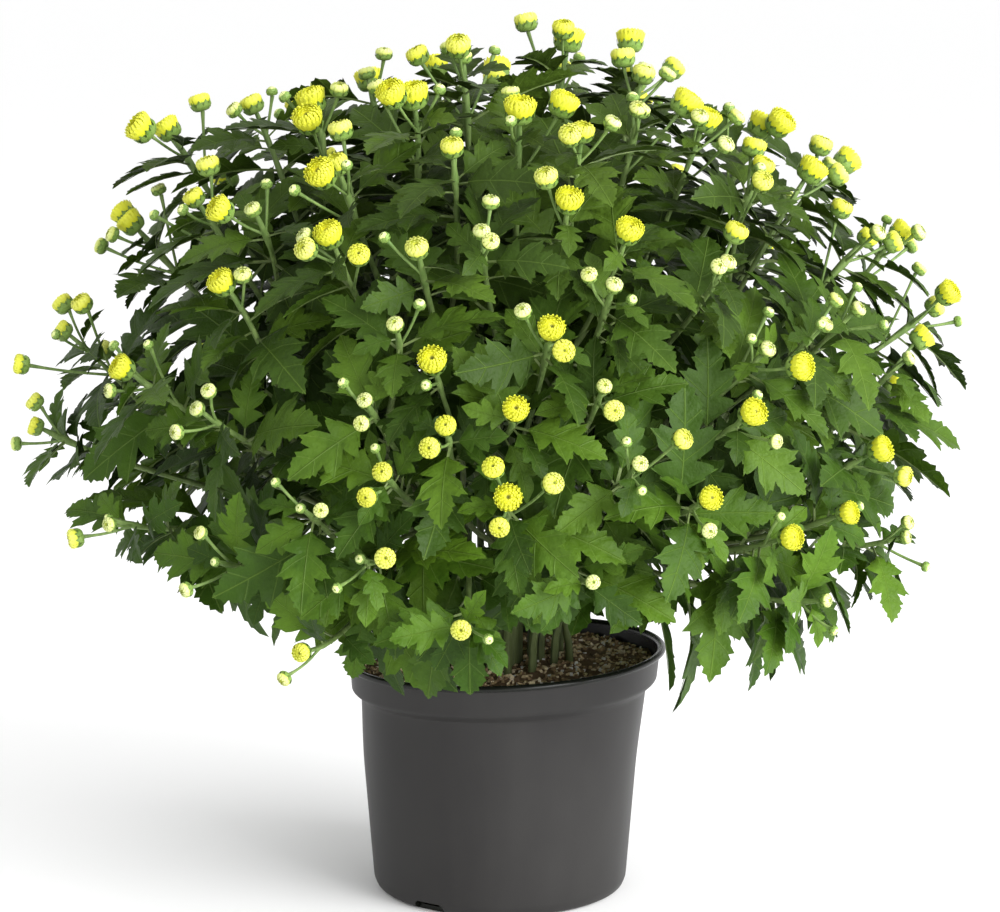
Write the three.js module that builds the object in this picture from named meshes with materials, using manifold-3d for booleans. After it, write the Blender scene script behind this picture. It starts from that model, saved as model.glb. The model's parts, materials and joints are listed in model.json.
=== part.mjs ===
// Potted chrysanthemum: a soft plastic nursery pot, its potting soil and a dome of leafy stems
// that carry lobed leaves and yellow button blooms. Millimetres, +Z up, front towards -Y,
// origin at the centre of the pot's flat base.
import * as THREE from 'three';
import { mergeVertices } from 'three/addons/utils/BufferGeometryUtils.js';
import Module from 'manifold-3d';

const wasm = await Module();
wasm.setup();
const { Manifold, Mesh: ManifoldMesh } = wasm;

const degrees = Math.PI / 180;
const UP = new THREE.Vector3(0, 0, 1);
const GOLDEN_ANGLE = 137.508 * degrees;

// Pot, a thin shell with a collar and a rolled lip
const POT_HEIGHT = 143;
const POT_SIDES = 26;
const POT_WALL = 1.5;
const RIM_RADIUS = 95.5;
const LIP_HEIGHT = 4;
const COLLAR_RADIUS = 92;
const COLLAR_HEIGHT = 15;
const SHOULDER_HEIGHT = 5;
const BODY_TOP_RADIUS = 84.8;
const BODY_FOOT_RADIUS = 75.6;
const FOOT_ROUNDING = 6;
const FLOOR_THICKNESS = 2.5;
// The soft rim leans a little to the right above this height
const RIM_TILT = Math.tan(2.5 * degrees);
const RIM_SHIFT = 3;
const WARP_START = 70;
// Drainage notches cut through wall and floor at the foot
const NOTCH_ANGLES = [-34, 86, 206];
const NOTCH_WIDTH = 20;
const NOTCH_HEIGHT = 6;
const NOTCH_DEPTH = 12;

// Soil
const SOIL_DROP = 9;
const SOIL_MOUND = 3;
const SOIL_SIDES = 18;
const SEAT_GAP = 0.3;
const STEM_HOLE_DEPTH = 18;

// Stems, each with three sides and a short joint wherever something grows out of it
const CROWN = new THREE.Vector3(0, 0, 252);
const FOOT_SPACING = 7.4;
const FOOT_RISE = 7;
const STEM_RADIUS = 2.8;
const SHOOT_RADIUS = 2.1;
const TIP_RADIUS = 1.5;
const STALK_RADIUS = 1.1;
const JOINT_HALF = 1.6;
const LONGEST_STEP = 62;
const HOLE_MARGIN = 1.2;

// Each stem: its shoots as [azimuth, elevation, reach from the crown, buds].
// Azimuth 0 faces the front and 90 the right. The first shoot rises from the soil and the
// others branch off it.
const FRONT_STEMS = [
  [[-83, 6, 277, 3], [-60, -2, 256, 3], [-85, 18, 272, 5]],
  [[-39, -5, 248, 3], [-28, -17, 238, 2], [-26, 3, 244, 3]],
  [[-15, 8, 240, 3], [-18, -3, 242, 3], [-5, -12, 240, 2]],
  [[1, 5, 240, 4], [-7, 14, 240, 2]],
  [[18, 9, 242, 4], [27, 4, 244, 2], [12, -6, 238, 1]],
  [[39, -2, 247, 2], [47, -11, 251, 2], [49, 0, 251, 2]],
  [[64, -5, 258, 3], [56, 7, 254, 2], [71, 17, 260, 2]],
  [[-59, 17, 255, 4], [-43, 14, 249, 3], [-44, 30, 250, 2]],
  [[-18, 17, 242, 3], [-9, 22, 241, 2], [-15, 27, 242, 2]],
  [[7, 26, 243, 3], [14, 19, 241, 2], [2, 16, 240, 1]],
  [[39, 22, 248, 4], [34, 14, 246, 3], [51, 24, 253, 3]],
  [[85, 21, 275, 4], [60, 25, 256, 3], [84, 31, 275, 4]],
  [[17, 32, 245, 3], [21, 39, 246, 2], [37, 34, 248, 3]],
  [[-13, 37, 245, 2], [-3, 40, 245, 3], [-28, 38, 247, 4]],
  [[-87, 34, 262, 5], [-64, 41, 255, 4], [-46, 41, 252, 3]],
  [[77, 33, 260, 4], [74, 44, 258, 3], [59, 47, 253, 4]],
  [[-86, 46, 280, 4], [-80, 56, 262, 3], [-57, 60, 254, 4]],
  [[-33, 49, 250, 5], [-25, 63, 251, 4], [-10, 53, 249, 2]],
  [[5, 60, 250, 4], [19, 56, 249, 3], [12, 44, 246, 2]],
  [[39, 60, 252, 4], [55, 56, 253, 4], [60, 68, 254, 3]],
  [[80, 53, 256, 4], [88, 43, 268, 3]],
  [[-20, 76, 255, 5], [94, 81, 256, 4], [96, 70, 255, 3]],
];

// The rear of the dome: rows of stems as [elevation, reach, azimuths], each stem with two side
// shoots turned and raised from it.
const REAR_ROWS = [
  [2, 246, [112, 146, 180, 214, 248]],
  [30, 246, [128, 164, 200, 236]],
  [58, 250, [140, 196, 246]],
];
const REAR_SIDE_SHOOTS = [[13, 13], [-14, 8]];
const REAR_BUDS = [3, 2, 2];

// Growth of a shoot: it rises straight at first and arrives at its tip outward and upward. Where
// its way is taken, it rises by another share or swings to a side.
const RISE = 90;
const SIDE_RISE = 0.3;
const ARRIVAL = 0.34;
const ARRIVAL_OUTWARD = 0.85;
const ARRIVAL_UPWARD = 0.4;
const PATH_POINTS = 28;
const BRANCHING = [0.42, 0.54];
// A shoot ends this far short of its reach, to leave room for its bud
const BUD_ROOM = 10;
// A side shoot leaves towards the point at this distance along its own path
const FIRST_LOOK = 10;
const RISE_SHARES = [1, 0.75, 1.25, 0.5];
const SWINGS = [0, 9, -9, 18, -18, 27, -27, 36, -36];

// Side buds: distances below the tip where they leave a shoot, and their stalks
const BUD_NODES = [14, 14, 34, 34];
const STALK_LEAST = 7;
const STALK_SPREAD = 8;
const STALK_LEAN = 0.85;
const STALK_OUTWARD = 0.3;
const BUD_OUTWARD = 0.6;
const TIP_OUTWARD = 0.5;
const BUD_TRIES = 9;
const BUD_TURN = 0.7;

// Leaves as [distance below the tip, length] along each shoot
const LEAF_NODES = [[14, 52], [34, 66], [52, 76], [76, 80], [104, 74]];
// Of every seven places for a leaf, three have one
const LEAF_TURNS = 7;
const LEAVES_EACH_TURN = 3;
const NODE_SPACING = 7;
const LEAF_SIZE = [0.92, 1.08];
const LEAF_DROOP = [0.22, 0.5];
const LEAF_ALONG = 0.5;
// A leaf's face looks outward and upward by these shares, then rolls by up to this angle
const LEAF_FACE = [0.75, 0.5];
const LEAF_ROLL = 1;
// A leaf sags by the first of these at the foot of the dome, and less by the second at its top
const LEAF_SAG = [0.35, 0.3];
// Turns about the shoot and sizes that a leaf tries in order
const LEAF_TRIES = [
  [0, 1], [0.5, 1], [-0.5, 1], [1, 1], [-1, 1], [1.6, 1], [-1.6, 1], [2.3, 1], [3.1, 1],
  [0, 0.85], [0.7, 0.85], [-0.7, 0.85], [1.5, 0.85], [-1.5, 0.85], [2.3, 0.85], [3.1, 0.85],
];
// A blade rises at its stalk, folds up along its rib and curls down at its sides
const LEAF_LIFT = 0.12;
const LEAF_FOLD = 0.3;
const LEAF_CURL = 0.5;
const LEAF_THICKNESS = 1.8;
const PETIOLE = 0.17;
const PETIOLE_HALF_WIDTH = 1.3;
const PETIOLE_KEEL = 1.3;

// Half of a leaf's outline as fractions of its length, each point with the rib point that the
// blade behind it is spanned from
const LEAF_OUTLINE = [[0.4, 0.27, 1], [0.47, 0.1, 1], [0.7, 0.28, 2], [0.7, 0.11, 2]];
const LEAF_RIB = [0.34, 0.6];
// Width of the space that a leaf needs, along its length
const LEAF_ENVELOPE = [[0, 0.02], [0.2, 0.1], [0.42, 0.27], [0.74, 0.28], [0.87, 0.16], [1, 0.03]];

// Buds from nearly open to closed as [radius, sections of height, radius and points]
const BUD_STAGES = [
  { radius: 8.8, sections: [[0.95, 1.0, 8], [1.35, 0.55, 4]], apex: 1.18, notch: 0.84 },
  { radius: 7.0, sections: [[1.15, 0.98, 8]], apex: 1.2, notch: 0.76 },
  { radius: 5.2, sections: [[1.0, 1.0, 5]], apex: 1.6, notch: 1 },
  { radius: 3.6, sections: [[1.0, 1.0, 4]], apex: 1.9, notch: 1 },
];

// A bud low on the dome is smaller by this share
const LOW_BUD_SIZE = 0.78;

// Share of the draws up to which a bud is at each stage. A bud at a shoot's tip is ahead, and so
// is one high on the dome.
const BUD_SHARES = [-0.02, 0.2, 0.52, 1];
const TIP_LEAD = 0.3;
const HEIGHT_LEAD = 0.24;
const LEAD_HEIGHTS = [250, 500];

// Clearance, tested at points in a grid of cells
const CELL = 20;
const CLEARANCE_STEP = 4.2;
const LEAF_CLEARANCE = 2.5;
const PATH_CLEARANCE = 1.6;
const STALK_CLEARANCE = 0.3;
const BUD_CLEARANCE = 0.4;
// Places along a bud's stalk, and along its radius, where its space is tested
const STALK_SHARES = [0.3, 0.45, 0.6, 0.75, 0.9];
const BUD_CENTRE = 0.8;
const ROOT_FREE = 9;
const POT_CLEARANCE = 4;
// The foliage's lower edge: its height at the rim, its rise with the distance beyond it, and its
// fall to the right
const LOWEST_LEAF = 120;
const LOWEST_REACH = 105;
const LOWEST_RISE = 0.5;
const LOWEST_FALL = 0.13;
// At the front right the foliage parts over the soil, above a slope that rises to the front
const PARTING_SIDES = [6, 92];
const PARTING_HEIGHT = 150;
const PARTING_RISE = 0.22;

const GREEN = new THREE.MeshStandardMaterial({ color: 0x35531f, roughness: 0.55, metalness: 0 });
const DARK_PLASTIC = new THREE.MeshStandardMaterial({ color: 0x474643, roughness: 0.42, metalness: 0 });
const SOIL_BROWN = new THREE.MeshStandardMaterial({ color: 0x3b2c22, roughness: 0.95, metalness: 0 });

const potted = new THREE.Group();

function vector(x, y, z) {
  return new THREE.Vector3(x, y, z);
}

// Repeatable random numbers
function randomSource(seed) {
  let state = (seed * 7919 + 104729) % 2147483647;
  const next = () => {
    state = (state * 16807) % 2147483647;
    return state / 2147483647;
  };
  next();
  next();
  return next;
}

// Solids

function solidFrom(positions, triangles) {
  const mesh = new ManifoldMesh({
    numProp: 3,
    vertProperties: new Float32Array(positions),
    triVerts: new Uint32Array(triangles),
  });
  return new Manifold(mesh);
}

function solidFromGeometry(geometry) {
  const bare = geometry.index ? geometry.toNonIndexed() : geometry.clone();
  bare.deleteAttribute('normal');
  bare.deleteAttribute('uv');
  const merged = mergeVertices(bare, 1e-4);
  return solidFrom(merged.attributes.position.array, merged.index.array);
}

// Joining can close off small hollows and drop crumbs: only the outer body is kept
function outerBody(solid) {
  const bodies = solid.decompose();
  return bodies.reduce((best, body) => (body.volume() > best.volume() ? body : best));
}

function addMesh(name, solid, material) {
  const { numProp, vertProperties, triVerts } = solid.getMesh();
  const geometry = new THREE.BufferGeometry();
  const positions = new Float32Array((vertProperties.length / numProp) * 3);
  for (let i = 0; i < positions.length / 3; i += 1) {
    positions.set(vertProperties.subarray(i * numProp, i * numProp + 3), i * 3);
  }
  geometry.setAttribute('position', new THREE.BufferAttribute(positions, 3));
  geometry.setIndex(new THREE.BufferAttribute(new Uint32Array(triVerts), 1));
  geometry.computeVertexNormals();
  const mesh = new THREE.Mesh(geometry, material);
  mesh.name = name;
  potted.add(mesh);
}

// A closed skin of triangles. A loop is a list of points, anticlockwise seen from outside.
class Skin {
  constructor() {
    this.points = [];
    this.faces = [];
  }

  loop(points) {
    return points.map((point) => this.points.push(point) - 1);
  }

  face(a, b, c) {
    const face = { corners: [a, b, c], open: false };
    this.faces.push(face);
    return face;
  }

  at(index) {
    return this.points[index];
  }

  // Joins two loops, which may differ in their number of points, with the shortest edges
  bridge(low, high) {
    const [m, n] = [low.length, high.length];
    const steps = [];
    for (let [a, b] = [0, 0]; a < m || b < n;) {
      const alongLow = b >= n || (a < m && (a + 0.5) / m <= (b + 0.5) / n);
      steps.push({ a, b, alongLow });
      [a, b] = alongLow ? [a + 1, b] : [a, b + 1];
    }
    const total = (turn) => steps.reduce((sum, { a, b }) => (
      sum + this.at(low[a % m]).distanceTo(this.at(high[(turn + b) % n]))), 0);
    const turns = high.map((_, turn) => turn);
    const best = turns.reduce((one, other) => (total(other) < total(one) ? other : one));
    return steps.map(({ a, b, alongLow }) => {
      const [corner, partner] = [low[a % m], high[(best + b) % n]];
      const next = alongLow ? low[(a + 1) % m] : high[(best + b + 1) % n];
      return this.face(corner, next, partner);
    });
  }

  close(loop, apex) {
    const [tip] = this.loop([apex]);
    loop.forEach((corner, i) => this.face(corner, loop[(i + 1) % loop.length], tip));
  }

  // Opens the free face that looks most along a direction, and returns its corners
  open(faces, direction) {
    const facing = ({ corners: [a, b, c] }) => {
      const across = this.at(b).clone().sub(this.at(a));
      return across.cross(this.at(c).clone().sub(this.at(a))).normalize().dot(direction);
    };
    const free = faces.filter((face) => !face.open);
    const chosen = free.reduce((a, b) => (facing(b) > facing(a) ? b : a));
    chosen.open = true;
    return chosen.corners;
  }

  solid() {
    const triangles = this.faces.filter((face) => !face.open).flatMap((face) => face.corners);
    return solidFrom(this.points.flatMap((point) => [point.x, point.y, point.z]), triangles);
  }
}

// Two directions across an axis, the first as near as it can be to a wished one
function across(axis, wish = null) {
  const guide = wish ?? (Math.abs(axis.z) < 0.9 ? UP : vector(1, 0, 0));
  const u = guide.clone().addScaledVector(axis, -guide.dot(axis)).normalize();
  return [u, axis.clone().cross(u)];
}

function ringAround(centre, axis, radius, count, { wish = null, turn = 0, notch = 1 } = {}) {
  const [u, v] = across(axis, wish);
  const points = [];
  for (let i = 0; i < count; i += 1) {
    const angle = turn + (i / count) * 2 * Math.PI;
    const reach = radius * (i % 2 ? notch : 1);
    points.push(centre.clone()
      .addScaledVector(u, Math.cos(angle) * reach)
      .addScaledVector(v, Math.sin(angle) * reach));
  }
  return points;
}

// Pot

function potWarp(x, z) {
  const amount = THREE.MathUtils.smoothstep(z, WARP_START, POT_HEIGHT);
  return [x + RIM_SHIFT * amount, z + x * RIM_TILT * amount];
}

function warp(geometry) {
  const position = geometry.attributes.position;
  for (let i = 0; i < position.count; i += 1) {
    const [x, z] = potWarp(position.getX(i), position.getZ(i));
    position.setXYZ(i, x, position.getY(i), z);
  }
  return geometry;
}

function bodyRadius(z) {
  const top = POT_HEIGHT - LIP_HEIGHT - COLLAR_HEIGHT - SHOULDER_HEIGHT;
  return THREE.MathUtils.mapLinear(z, FOOT_ROUNDING, top, BODY_FOOT_RADIUS, BODY_TOP_RADIUS);
}

function turned(profile, sides) {
  const points = profile.map(([radius, height]) => new THREE.Vector2(radius, height));
  return new THREE.LatheGeometry(points, sides).rotateX(Math.PI / 2);
}

function makePot() {
  const lipBase = POT_HEIGHT - LIP_HEIGHT;
  const collarBase = lipBase - COLLAR_HEIGHT;
  const bodyTop = collarBase - SHOULDER_HEIGHT;
  const inside = COLLAR_RADIUS - POT_WALL;
  const profile = [
    [0, 0],
    [BODY_FOOT_RADIUS - FOOT_ROUNDING, 0],
    [BODY_FOOT_RADIUS - 0.3 * FOOT_ROUNDING, 0.3 * FOOT_ROUNDING],
    [BODY_FOOT_RADIUS, FOOT_ROUNDING],
    [bodyRadius(WARP_START), WARP_START],
    [BODY_TOP_RADIUS, bodyTop],
    [COLLAR_RADIUS - 1.2, collarBase],
    [COLLAR_RADIUS, lipBase],
    [RIM_RADIUS, lipBase + 0.6],
    [RIM_RADIUS, POT_HEIGHT - 1.4],
    [RIM_RADIUS - 1.6, POT_HEIGHT],
    [inside, POT_HEIGHT - 1.2],
    [inside - 1.2, collarBase - 1],
    [BODY_TOP_RADIUS - POT_WALL, bodyTop - 1],
    [bodyRadius(WARP_START) - POT_WALL, WARP_START],
    [BODY_FOOT_RADIUS - POT_WALL - 0.3, FOOT_ROUNDING],
    [BODY_FOOT_RADIUS - FOOT_ROUNDING, FLOOR_THICKNESS],
    [0, FLOOR_THICKNESS],
  ];
  let pot = solidFromGeometry(warp(turned(profile, POT_SIDES)));
  NOTCH_ANGLES.forEach((angle) => {
    const notch = new THREE.BoxGeometry(NOTCH_WIDTH, NOTCH_DEPTH, 2 * NOTCH_HEIGHT);
    notch.translate(0, -BODY_FOOT_RADIUS, 0);
    notch.rotateZ(angle * degrees);
    pot = pot.subtract(solidFromGeometry(notch));
  });
  addMesh('pot', pot, DARK_PLASTIC);
}

// Soil, cut by a plain hole for each stem

function soilHeight(radius) {
  const level = POT_HEIGHT - SOIL_DROP;
  const share = radius / COLLAR_RADIUS;
  return level + SOIL_MOUND * (1 - share * share);
}

function makeSoil(stems) {
  const inset = POT_WALL + SEAT_GAP;
  const collarBase = POT_HEIGHT - LIP_HEIGHT - COLLAR_HEIGHT;
  const edge = COLLAR_RADIUS - inset - 1.6;
  const profile = [
    [0, FLOOR_THICKNESS + SEAT_GAP],
    [BODY_FOOT_RADIUS - FOOT_ROUNDING - 2, FLOOR_THICKNESS + SEAT_GAP],
    [BODY_FOOT_RADIUS - inset - 1.5, FOOT_ROUNDING + 2],
    [bodyRadius(WARP_START) - inset - 0.7, WARP_START],
    [BODY_TOP_RADIUS - inset - 0.7, collarBase - SHOULDER_HEIGHT],
    [edge, collarBase + 1.5],
    [edge, soilHeight(edge)],
    [edge * 0.55, soilHeight(edge * 0.55)],
    [0, soilHeight(0)],
  ];
  let soil = solidFromGeometry(warp(turned(profile, SOIL_SIDES)));
  stems.forEach((stem) => {
    const wish = vector(1, 0, 0);
    const width = STEM_RADIUS + HOLE_MARGIN;
    const bottom = stem.foot.clone().addScaledVector(UP, -SEAT_GAP);
    const top = bottom.clone().addScaledVector(UP, STEM_HOLE_DEPTH * 2);
    const hole = new Skin();
    const low = hole.loop(ringAround(bottom, UP, width, 3, { wish }));
    const high = hole.loop(ringAround(top, UP, width, 3, { wish }));
    hole.bridge(low, high);
    hole.face(low[0], low[2], low[1]);
    hole.face(high[0], high[1], high[2]);
    soil = soil.subtract(hole.solid());
  });
  addMesh('soil', outerBody(soil), SOIL_BROWN);
}

// The space that is taken, as points with a radius

const cells = new Map();

function cellKey(x, y, z) {
  return (x + 64) * 65536 + (y + 64) * 256 + (z + 64);
}

function occupy(points, stemIndex) {
  points.forEach(([point, radius]) => {
    const key = cellKey(Math.floor(point.x / CELL), Math.floor(point.y / CELL), Math.floor(point.z / CELL));
    if (!cells.has(key)) {
      cells.set(key, []);
    }
    cells.get(key).push([point.x, point.y, point.z, radius, stemIndex]);
  });
}

// Where a leaf would meet the pot, hang below the foliage's lower edge or hide the soil
function isBarred({ x, y, z }) {
  const reach = Math.hypot(x, y);
  const meetsPot = z < POT_HEIGHT + POT_CLEARANCE && reach < RIM_RADIUS + POT_CLEARANCE;
  const lowest = LOWEST_LEAF + LOWEST_RISE * Math.max(reach - LOWEST_REACH, 0) - LOWEST_FALL * x;
  const inParting = y < 0 && x > PARTING_SIDES[0] && x < PARTING_SIDES[1];
  return meetsPot || z < lowest || (inParting && z < PARTING_HEIGHT - PARTING_RISE * y);
}

// Points near the root are only tested against other stems
function isClear(points, stemIndex, root) {
  return points.every(([point, radius]) => {
    const nearRoot = point.distanceTo(root) < ROOT_FREE;
    const [cx, cy, cz] = [point.x, point.y, point.z].map((value) => Math.floor(value / CELL));
    for (let x = cx - 1; x <= cx + 1; x += 1) {
      for (let y = cy - 1; y <= cy + 1; y += 1) {
        for (let z = cz - 1; z <= cz + 1; z += 1) {
          const taken = cells.get(cellKey(x, y, z)) ?? [];
          for (const [px, py, pz, other, owner] of taken) {
            if (nearRoot && owner === stemIndex) {
              continue;
            }
            if (Math.hypot(point.x - px, point.y - py, point.z - pz) < radius + other) {
              return false;
            }
          }
        }
      }
    }
    return true;
  });
}

// Growth

function domePoint(azimuth, elevation, reach) {
  const [a, e] = [azimuth * degrees, elevation * degrees];
  return vector(Math.sin(a) * Math.cos(e), -Math.cos(a) * Math.cos(e), Math.sin(e))
    .multiplyScalar(reach).add(CROWN);
}

function outward(point) {
  return point.clone().sub(CROWN).normalize();
}

function curvePath(start, lift, tip) {
  const arrival = outward(tip).multiplyScalar(ARRIVAL_OUTWARD)
    .addScaledVector(UP, ARRIVAL_UPWARD).normalize();
  const before = tip.clone().addScaledVector(arrival, -ARRIVAL * start.distanceTo(tip));
  return new THREE.CubicBezierCurve3(start, lift, before, tip).getPoints(PATH_POINTS);
}

function pathLength(path) {
  return path.reduce((sum, point, i) => (i ? sum + point.distanceTo(path[i - 1]) : 0), 0);
}

// The point and the direction at a distance from a path's start
function onPath(path, distance) {
  let left = Math.max(distance, 0);
  for (let i = 1; i < path.length; i += 1) {
    const span = path[i].distanceTo(path[i - 1]);
    if (left <= span || i === path.length - 1) {
      const point = path[i - 1].clone().lerp(path[i], Math.min(left / span, 1));
      return [point, path[i].clone().sub(path[i - 1]).normalize()];
    }
    left -= span;
  }
  return [path[0], UP];
}

function pathPoints(path, radius) {
  const points = [];
  for (let i = 1; i < path.length; i += 1) {
    points.push([path[i].clone().lerp(path[i - 1], 0.5), radius], [path[i], radius]);
  }
  return points;
}

// Feet stand in a spiral. From the lowest stem to the highest, each takes the free foot nearest
// to the side that it leans to.
function placeFeet(stems) {
  const free = stems.map((_, k) => {
    const reach = FOOT_SPACING * Math.sqrt(k + 0.6);
    const angle = k * GOLDEN_ANGLE;
    return vector(Math.sin(angle) * reach, -Math.cos(angle) * reach, 0);
  });
  const elevationOf = (stem) => stem.plan[0][1];
  const widest = FOOT_SPACING * Math.sqrt(stems.length);
  [...stems].sort((a, b) => elevationOf(a) - elevationOf(b)).forEach((stem) => {
    const [azimuth, elevation] = stem.plan[0];
    const reach = widest * (1 - elevation / 100);
    const wish = vector(Math.sin(azimuth * degrees), -Math.cos(azimuth * degrees), 0).multiplyScalar(reach);
    const nearer = (one, other) => (other.distanceTo(wish) < one.distanceTo(wish) ? other : one);
    const place = free.reduce(nearer);
    free.splice(free.indexOf(place), 1);
    const top = soilHeight(Math.hypot(place.x, place.y));
    stem.foot = vector(place.x, place.y, top - STEM_HOLE_DEPTH);
  });
}

// The first clear path among those that rise more or less and swing to either side, or else the
// plain one
function findPath(start, direction, tip, radius, stemIndex, lift) {
  const side = outward(tip).cross(UP).normalize();
  const paths = RISE_SHARES.flatMap((share) => SWINGS.map((swing) => {
    const turn = start.clone().addScaledVector(direction, share * lift).addScaledVector(side, swing);
    return curvePath(start, turn, tip);
  }));
  return paths.find((path) => isClear(pathPoints(path, radius + PATH_CLEARANCE), stemIndex, start))
    ?? paths[0];
}

function growStems() {
  const plans = [...FRONT_STEMS];
  REAR_ROWS.forEach(([elevation, reach, azimuths]) => azimuths.forEach((azimuth) => {
    const sides = REAR_SIDE_SHOOTS.map(([turn, raise], index) => (
      [azimuth + turn, elevation + raise, reach, REAR_BUDS[index + 1]]));
    plans.push([[azimuth, elevation, reach, REAR_BUDS[0]], ...sides]);
  }));
  const stems = plans.map((plan) => ({ plan, foot: null, shoots: [] }));
  placeFeet(stems);
  stems.forEach((stem, index) => {
    const [azimuth, elevation, reach] = stem.plan[0];
    const tip = domePoint(azimuth, elevation, reach - BUD_ROOM);
    const ground = stem.foot.clone().addScaledVector(UP, STEM_HOLE_DEPTH + FOOT_RISE);
    const path = findPath(ground, UP, tip, STEM_RADIUS, index, RISE);
    occupy(pathPoints([stem.foot, ...path], STEM_RADIUS), index);
    stem.shoots.push({ path, length: pathLength(path), parent: null, buds: [], leaves: [], branches: [] });
  });
  stems.forEach((stem, index) => {
    stem.plan.slice(1).forEach(([azimuth, elevation, reach], order) => {
      const parent = stem.shoots[0];
      const node = BRANCHING[order] * parent.length;
      const tip = domePoint(azimuth, elevation, reach - BUD_ROOM);
      const [start, direction] = onPath(parent.path, node);
      const lift = SIDE_RISE * start.distanceTo(tip);
      const path = findPath(start, direction, tip, SHOOT_RADIUS, index, lift);
      occupy(pathPoints(path, SHOOT_RADIUS), index);
      const shoot = { path, length: pathLength(path), parent, buds: [], leaves: [], branches: [] };
      stem.shoots.push(shoot);
      parent.branches.push({ node, shoot });
    });
  });
  return stems;
}

// How high on the dome a place is, from 0 to 1
function raisedShare(height) {
  const [low, high] = LEAD_HEIGHTS;
  return THREE.MathUtils.clamp((height - low) / (high - low), 0, 1);
}

// How open a bud is
function budStage(random, height, first) {
  const value = random() - (first ? TIP_LEAD : 0) - HEIGHT_LEAD * raisedShare(height);
  return BUD_SHARES.findIndex((share) => value < share);
}

function budRadius(stage, base) {
  return BUD_STAGES[stage].radius * THREE.MathUtils.lerp(LOW_BUD_SIZE, 1, raisedShare(base.z));
}

function budPoints(base, axis, radius) {
  return [[base.clone().addScaledVector(axis, radius * BUD_CENTRE), radius + BUD_CLEARANCE]];
}

// Buds: one at the shoot's tip, the others on stalks that leave below it
function growBuds(stems) {
  stems.forEach((stem, stemIndex) => stem.shoots.forEach((shoot, shootIndex) => {
    const random = randomSource(stemIndex * 40 + shootIndex * 7 + 1);
    const count = stem.plan[shootIndex][3];
    const [tip, end] = onPath(shoot.path, shoot.length);
    const stage = budStage(random, tip.z, true);
    const axis = end.clone().addScaledVector(outward(tip), TIP_OUTWARD).normalize();
    const tipRadius = budRadius(stage, tip);
    shoot.tipBud = { stage, radius: tipRadius, base: tip, axis };
    occupy(budPoints(tip, axis, tipRadius), stemIndex);
    const around = random() * 2 * Math.PI;
    BUD_NODES.slice(0, count - 1).forEach((distance, k) => {
      const node = shoot.length - distance;
      const [root, along] = onPath(shoot.path, node);
      const stageHere = budStage(random, tip.z, false);
      const length = distance + STALK_LEAST + STALK_SPREAD * random();
      for (let attempt = 0; attempt < BUD_TRIES; attempt += 1) {
        const angle = around + k * GOLDEN_ANGLE + attempt * BUD_TURN;
        const [u, v] = across(along);
        const lean = u.multiplyScalar(Math.cos(angle)).addScaledVector(v, Math.sin(angle));
        const direction = along.clone().addScaledVector(lean, STALK_LEAN)
          .addScaledVector(outward(root), STALK_OUTWARD).normalize();
        const base = root.clone().addScaledVector(direction, length);
        const budAxis = direction.clone().addScaledVector(outward(base), BUD_OUTWARD).normalize();
        const stalk = STALK_SHARES.map((share) => (
          [root.clone().lerp(base, share), STALK_RADIUS + STALK_CLEARANCE]));
        const radius = budRadius(stageHere, base);
        const points = [...stalk, ...budPoints(base, budAxis, radius)];
        if (isClear(points, stemIndex, root)) {
          shoot.buds.push({ node, stage: stageHere, radius, direction, base, axis: budAxis });
          occupy(points, stemIndex);
          return;
        }
      }
    });
  }));
}

// A leaf's frame: from its root along its length, across it and out of its upper face
function leafFrame(root, direction, droop, roll, length) {
  const face = outward(root).multiplyScalar(LEAF_FACE[0]).addScaledVector(UP, LEAF_FACE[1]);
  const along = direction.clone().normalize();
  const side = face.cross(along).normalize().applyAxisAngle(along, roll);
  const normal = along.clone().cross(side);
  return { root, along, side, normal, droop, length };
}

// A point of the blade: it arches down along its length and folds up along its rib
function onLeaf(leaf, x, y, thickness = 0) {
  const height = leaf.length * (LEAF_LIFT * x - leaf.droop * x * x
    + LEAF_FOLD * Math.abs(y) - LEAF_CURL * y * y);
  return leaf.root.clone()
    .addScaledVector(leaf.along, x * leaf.length)
    .addScaledVector(leaf.side, y * leaf.length)
    .addScaledVector(leaf.normal, height + thickness);
}

function envelopeWidth(x) {
  for (let i = 1; i < LEAF_ENVELOPE.length; i += 1) {
    const [[x0, y0], [x1, y1]] = [LEAF_ENVELOPE[i - 1], LEAF_ENVELOPE[i]];
    if (x <= x1) {
      return y0 + ((y1 - y0) * (x - x0)) / (x1 - x0);
    }
  }
  return 0;
}

function leafPoints(leaf) {
  const points = [];
  const stations = Math.ceil(leaf.length / CLEARANCE_STEP);
  for (let i = 1; i <= stations; i += 1) {
    const x = i / stations;
    const width = envelopeWidth(x);
    const half = Math.ceil((width * leaf.length) / CLEARANCE_STEP);
    for (let j = -half; j <= half; j += 1) {
      const y = half ? (j / half) * width : 0;
      points.push([onLeaf(leaf, x, y), LEAF_CLEARANCE]);
    }
  }
  return points;
}

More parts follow.
